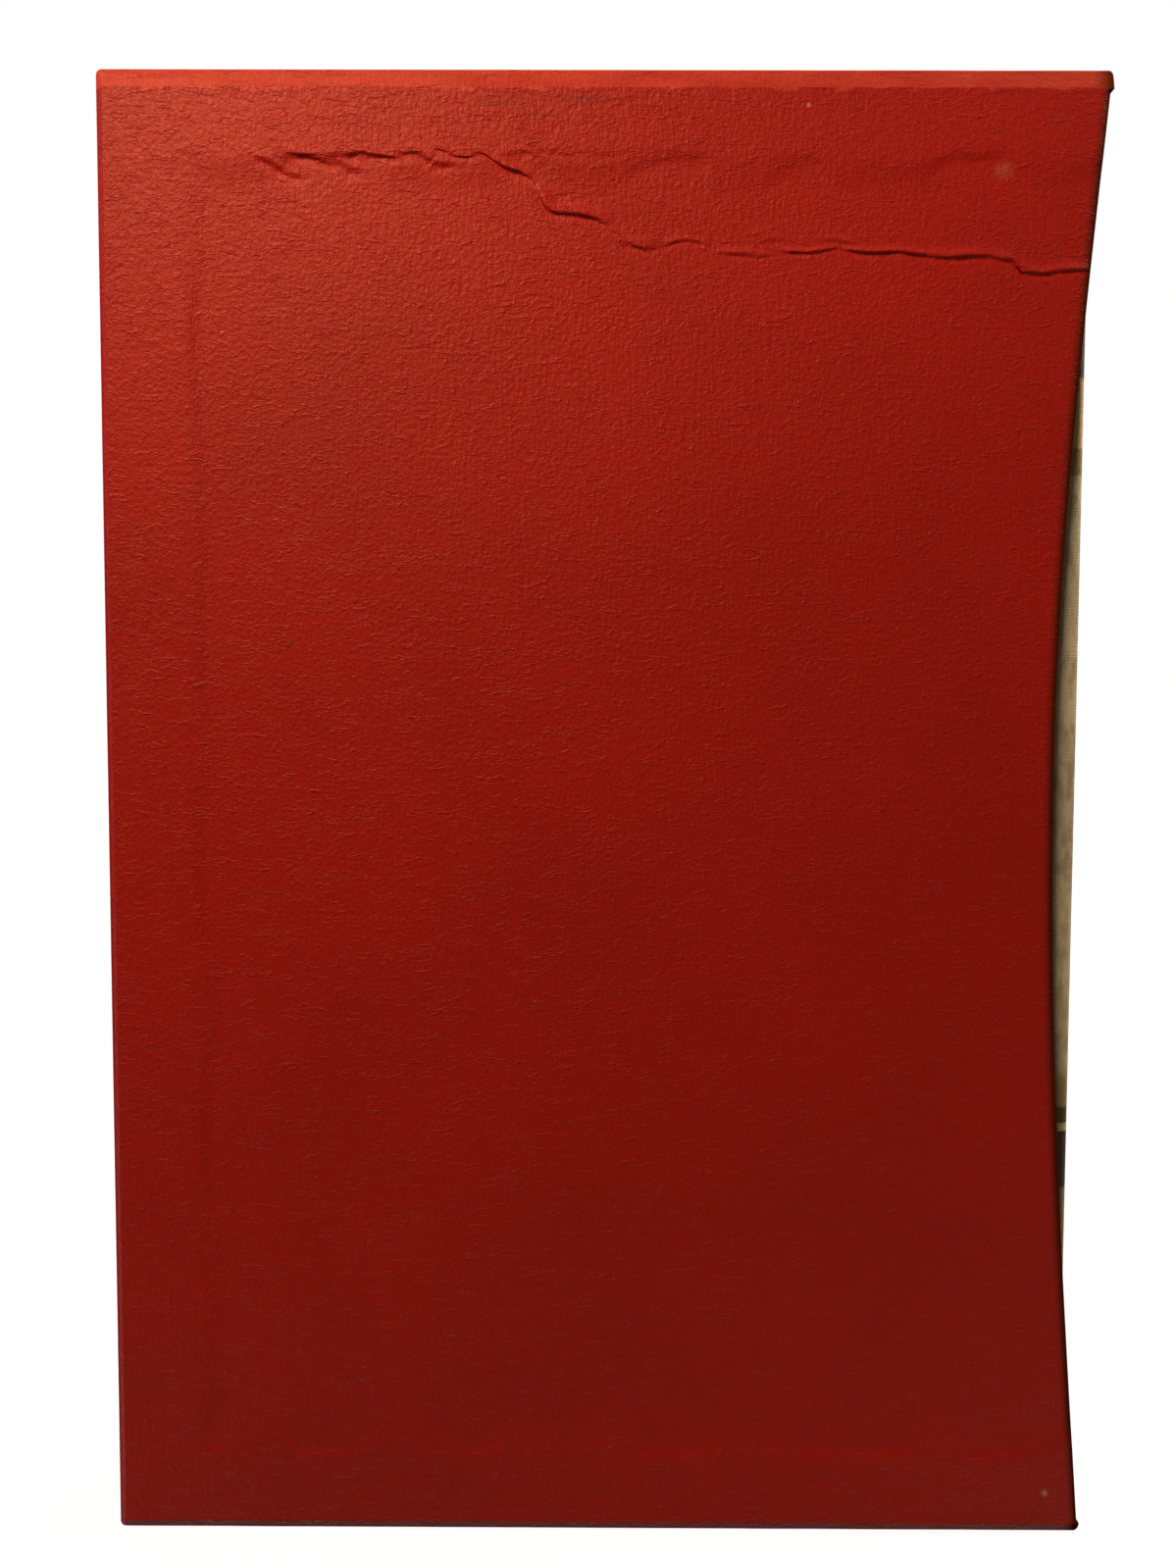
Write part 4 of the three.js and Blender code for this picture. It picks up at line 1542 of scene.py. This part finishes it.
@dataclass
class CoverCloth:
    """The covering of one board: over its outside and edges, and turned in behind them."""

    book: BookSizes
    side: Side
    edge_round: float = 0.7

    def build(self, material: bpy.types.Material) -> bpy.types.Object:
        """Makes the covering of the board and dresses it.

        Args:
            material: Its cloth.

        Returns:
            The piece.
        """
        book = self.book
        low = Vector((book.fore_edge, -book.half, book.foot))
        high = Vector((book.board_spine_edge, -book.cover_inside, book.head))
        cloth = bmesh.new()
        bmesh.ops.create_cube(cloth, size=1.0)
        bmesh.ops.scale(cloth, vec=high - low, verts=cloth.verts)
        bmesh.ops.translate(cloth, vec=(low + high) / 2, verts=cloth.verts)
        outer_edges = [edge for edge in cloth.edges
                       if min(vertex.co.x for vertex in edge.verts) < book.fore_edge + 1]
        bmesh.ops.bevel(cloth, geom=outer_edges, offset=self.edge_round, segments=4, profile=0.5,
                        affect="EDGES", material=-1)
        inside = max(cloth.faces, key=lambda face: face.calc_center_median().y)
        bmesh.ops.inset_region(cloth, faces=[inside], thickness=book.turn_in - self.edge_round)
        bmesh.ops.delete(cloth, geom=[inside], context="FACES")
        thicken(cloth, book.covering)
        if self.side is Side.BACK:
            turn_to_back(cloth)
        name = self.side.name.lower() + "_cover_cloth"
        return add_piece(name, cloth, material, Body.BOOK, Slot.COVERING, ["book_covering"])


@dataclass
class Book:
    """The book: covering, boards, leaves, bands and endpapers."""

    sizes: BookSizes

    def build(self) -> None:
        """Makes and dresses every piece of the book."""
        cloth = BookCloth(SPINE_BANDS, self.sizes.board_spine_edge + self.sizes.joint_width / 2)
        cloth_material = cloth.material()
        SpineCloth(self.sizes).build(cloth_material)
        for side in Side:
            CoverCloth(self.sizes, side).build(cloth_material)
        finishes = (
            (Millboard("cover_millboard"), ("front_cover_board", "back_cover_board", "spine_card")),
            (PlainPaper("lining_paper", (0.42, 0.31, 0.18)), ("spine_lining",)),
            (PageEdges(), ("text_block",)),
            (SewnBand(), ("head_band", "tail_band")),
            (PlainPaper("endpaper", (0.72, 0.62, 0.44)), ("front_pastedown", "back_pastedown")),
        )
        for finish, names in finishes:
            material = finish.material()
            for node in names:
                dress_node(node, material)


SPINE_BANDS = (
    SpineBand(196, 241, (0.045, 0.018, 0.008)),
    SpineBand(184.3, 195.6, (0.68, 0.45, 0.19)),
    # The slightly darker band under the cream one is painted shade on the plain tan cloth.
    SpineBand(180.2, 184.3, (0.33, 0.215, 0.09)),
    SpineBand(73, 73.4, (0.32, 0.2, 0.07)),
    SpineBand(70.3, 73, (0.07, 0.045, 0.012)),
    SpineBand(68.9, 70.3, (0.6, 0.5, 0.27)),
    SpineBand(59.1, 68.9, (0.028, 0.01, 0.004)),
    SpineBand(58.7, 59.1, (0.28, 0.16, 0.06)),
)


CASE_MIDDLE = (0.0, 0.0, 0.14)


@dataclass(frozen=True)
class Lamp:
    """A square soft lamp that points at a target, in metres and watts."""

    name: str
    place: tuple[float, float, float]
    size: float
    power: float
    colour: Colour
    target: tuple[float, float, float] = CASE_MIDDLE

    def build(self) -> None:
        """Hangs the lamp."""
        data = bpy.data.lights.new(self.name, "AREA")
        data.size = self.size
        data.energy = self.power
        data.color = self.colour
        lamp = hang(self.name, data)
        lamp.location = self.place
        aim(lamp, Vector(self.target) - Vector(self.place))


@dataclass(frozen=True)
class Studio:
    """A pale floor, a white surround, soft lamps and the camera."""

    camera_place: tuple[float, float, float] = (-0.0018, -0.21162, 0.13812)
    camera_direction: tuple[float, float, float] = (-0.00282, 0.99873, -0.05021)
    camera_roll: float = -0.18
    lens: float = 27.02
    lamps: tuple[Lamp, ...] = (
        Lamp("key_lamp", (-0.20, -0.31, 0.53), 0.22, 3.9, (1.0, 0.86, 0.68), (-0.1, 0.0, 0.45)),
        Lamp("back_lamp", (0.5, 0.7, 0.6), 0.5, 2.0, (1.0, 0.95, 0.88)),
        Lamp("side_lamp", (0.36, 0.08, 0.46), 0.2, 2.6, (1.0, 0.9, 0.76)),
    )
    surround: Colour = (0.9, 0.88, 0.85)
    surround_strength: float = 0.025
    floor_half: float = 3.0
    floor_colour: Colour = (0.26, 0.26, 0.26)
    bounce_colour: Colour = (0.05, 0.048, 0.045)
    floor_glow: float = 0.86
    white_from: float = 250.0
    white_at: float = 900.0

    def build(self) -> None:
        """Makes the floor, the surround, the lamps and the camera."""
        bpy.context.scene.view_settings.view_transform = "Standard"
        self.add_camera()
        self.add_floor()
        self.add_surround()
        for lamp in self.lamps:
            lamp.build()

    def add_camera(self) -> None:
        """Places the camera where the photograph was taken."""
        data = bpy.data.cameras.new("camera")
        data.lens = self.lens
        data.clip_start = 0.01
        camera = hang("camera", data)
        camera.location = self.camera_place
        aim(camera, Vector(self.camera_direction), self.camera_roll)
        bpy.context.scene.camera = camera

    def add_floor(self) -> None:
        """Lays a wide pale floor."""
        sheet = bmesh.new()
        bmesh.ops.create_grid(sheet, x_segments=8, y_segments=8, size=self.floor_half)
        mesh = bpy.data.meshes.new("floor")
        sheet.to_mesh(mesh)
        sheet.free()
        mesh.materials.append(self.floor_finish())
        hang("floor", mesh)

    def floor_finish(self) -> bpy.types.Material:
        """A matt floor that looks nearly white to the camera and keeps the case's shadow.

        Returns:
            The material.
        """
        nodes = FinishNodes("pale_floor")
        seen = nodes.seen()
        speckle = nodes.ramp(nodes.grain((2.5, 2.5, 2.5), detail=3), 0.3, 0.7, 0.98, 1.02)
        colour = nodes.shade(nodes.mix(seen, self.bounce_colour, self.floor_colour), speckle)
        distance = nodes.add("ShaderNodeVectorMath", {0: nodes.place}, operation="LENGTH").outputs["Value"]
        glow = nodes.ramp(distance, self.white_from, self.white_at, self.floor_glow, 1.0)
        glow = nodes.maths("MULTIPLY", seen, glow)
        return nodes.finish(Base_Color=colour, Roughness=0.9, Emission_Color=(1.0, 1.0, 1.0),
                            Emission_Strength=glow)

    def add_surround(self) -> None:
        """Lights the scene a little from all round, and shows white behind it."""
        world = bpy.data.worlds.new("surround")
        bpy.context.scene.world = world
        world.use_nodes = True
        nodes = Nodes(world.node_tree)
        light = nodes.tree.nodes["Background"]
        nodes.feed(light.inputs["Color"], (*self.surround, 1.0))
        nodes.feed(light.inputs["Strength"], self.surround_strength)
        white = nodes.add("ShaderNodeBackground", {"Color": (1.0, 1.0, 1.0, 1.0), "Strength": 1.0})
        choice = nodes.add("ShaderNodeMixShader", {
            0: nodes.seen(), 1: light.outputs["Background"], 2: white.outputs["Background"],
        })
        nodes.feed(nodes.tree.nodes["World Output"].inputs["Surface"], choice.outputs["Shader"])


def main() -> None:
    """Builds the case, the book and the studio."""
    logging.basicConfig(level=logging.INFO, format="%(message)s")
    Studio().build()
    Slipcase(CaseSizes.from_frame()).build()
    Book(BookSizes.from_frame()).build()


if __name__ == "__main__":
    main()
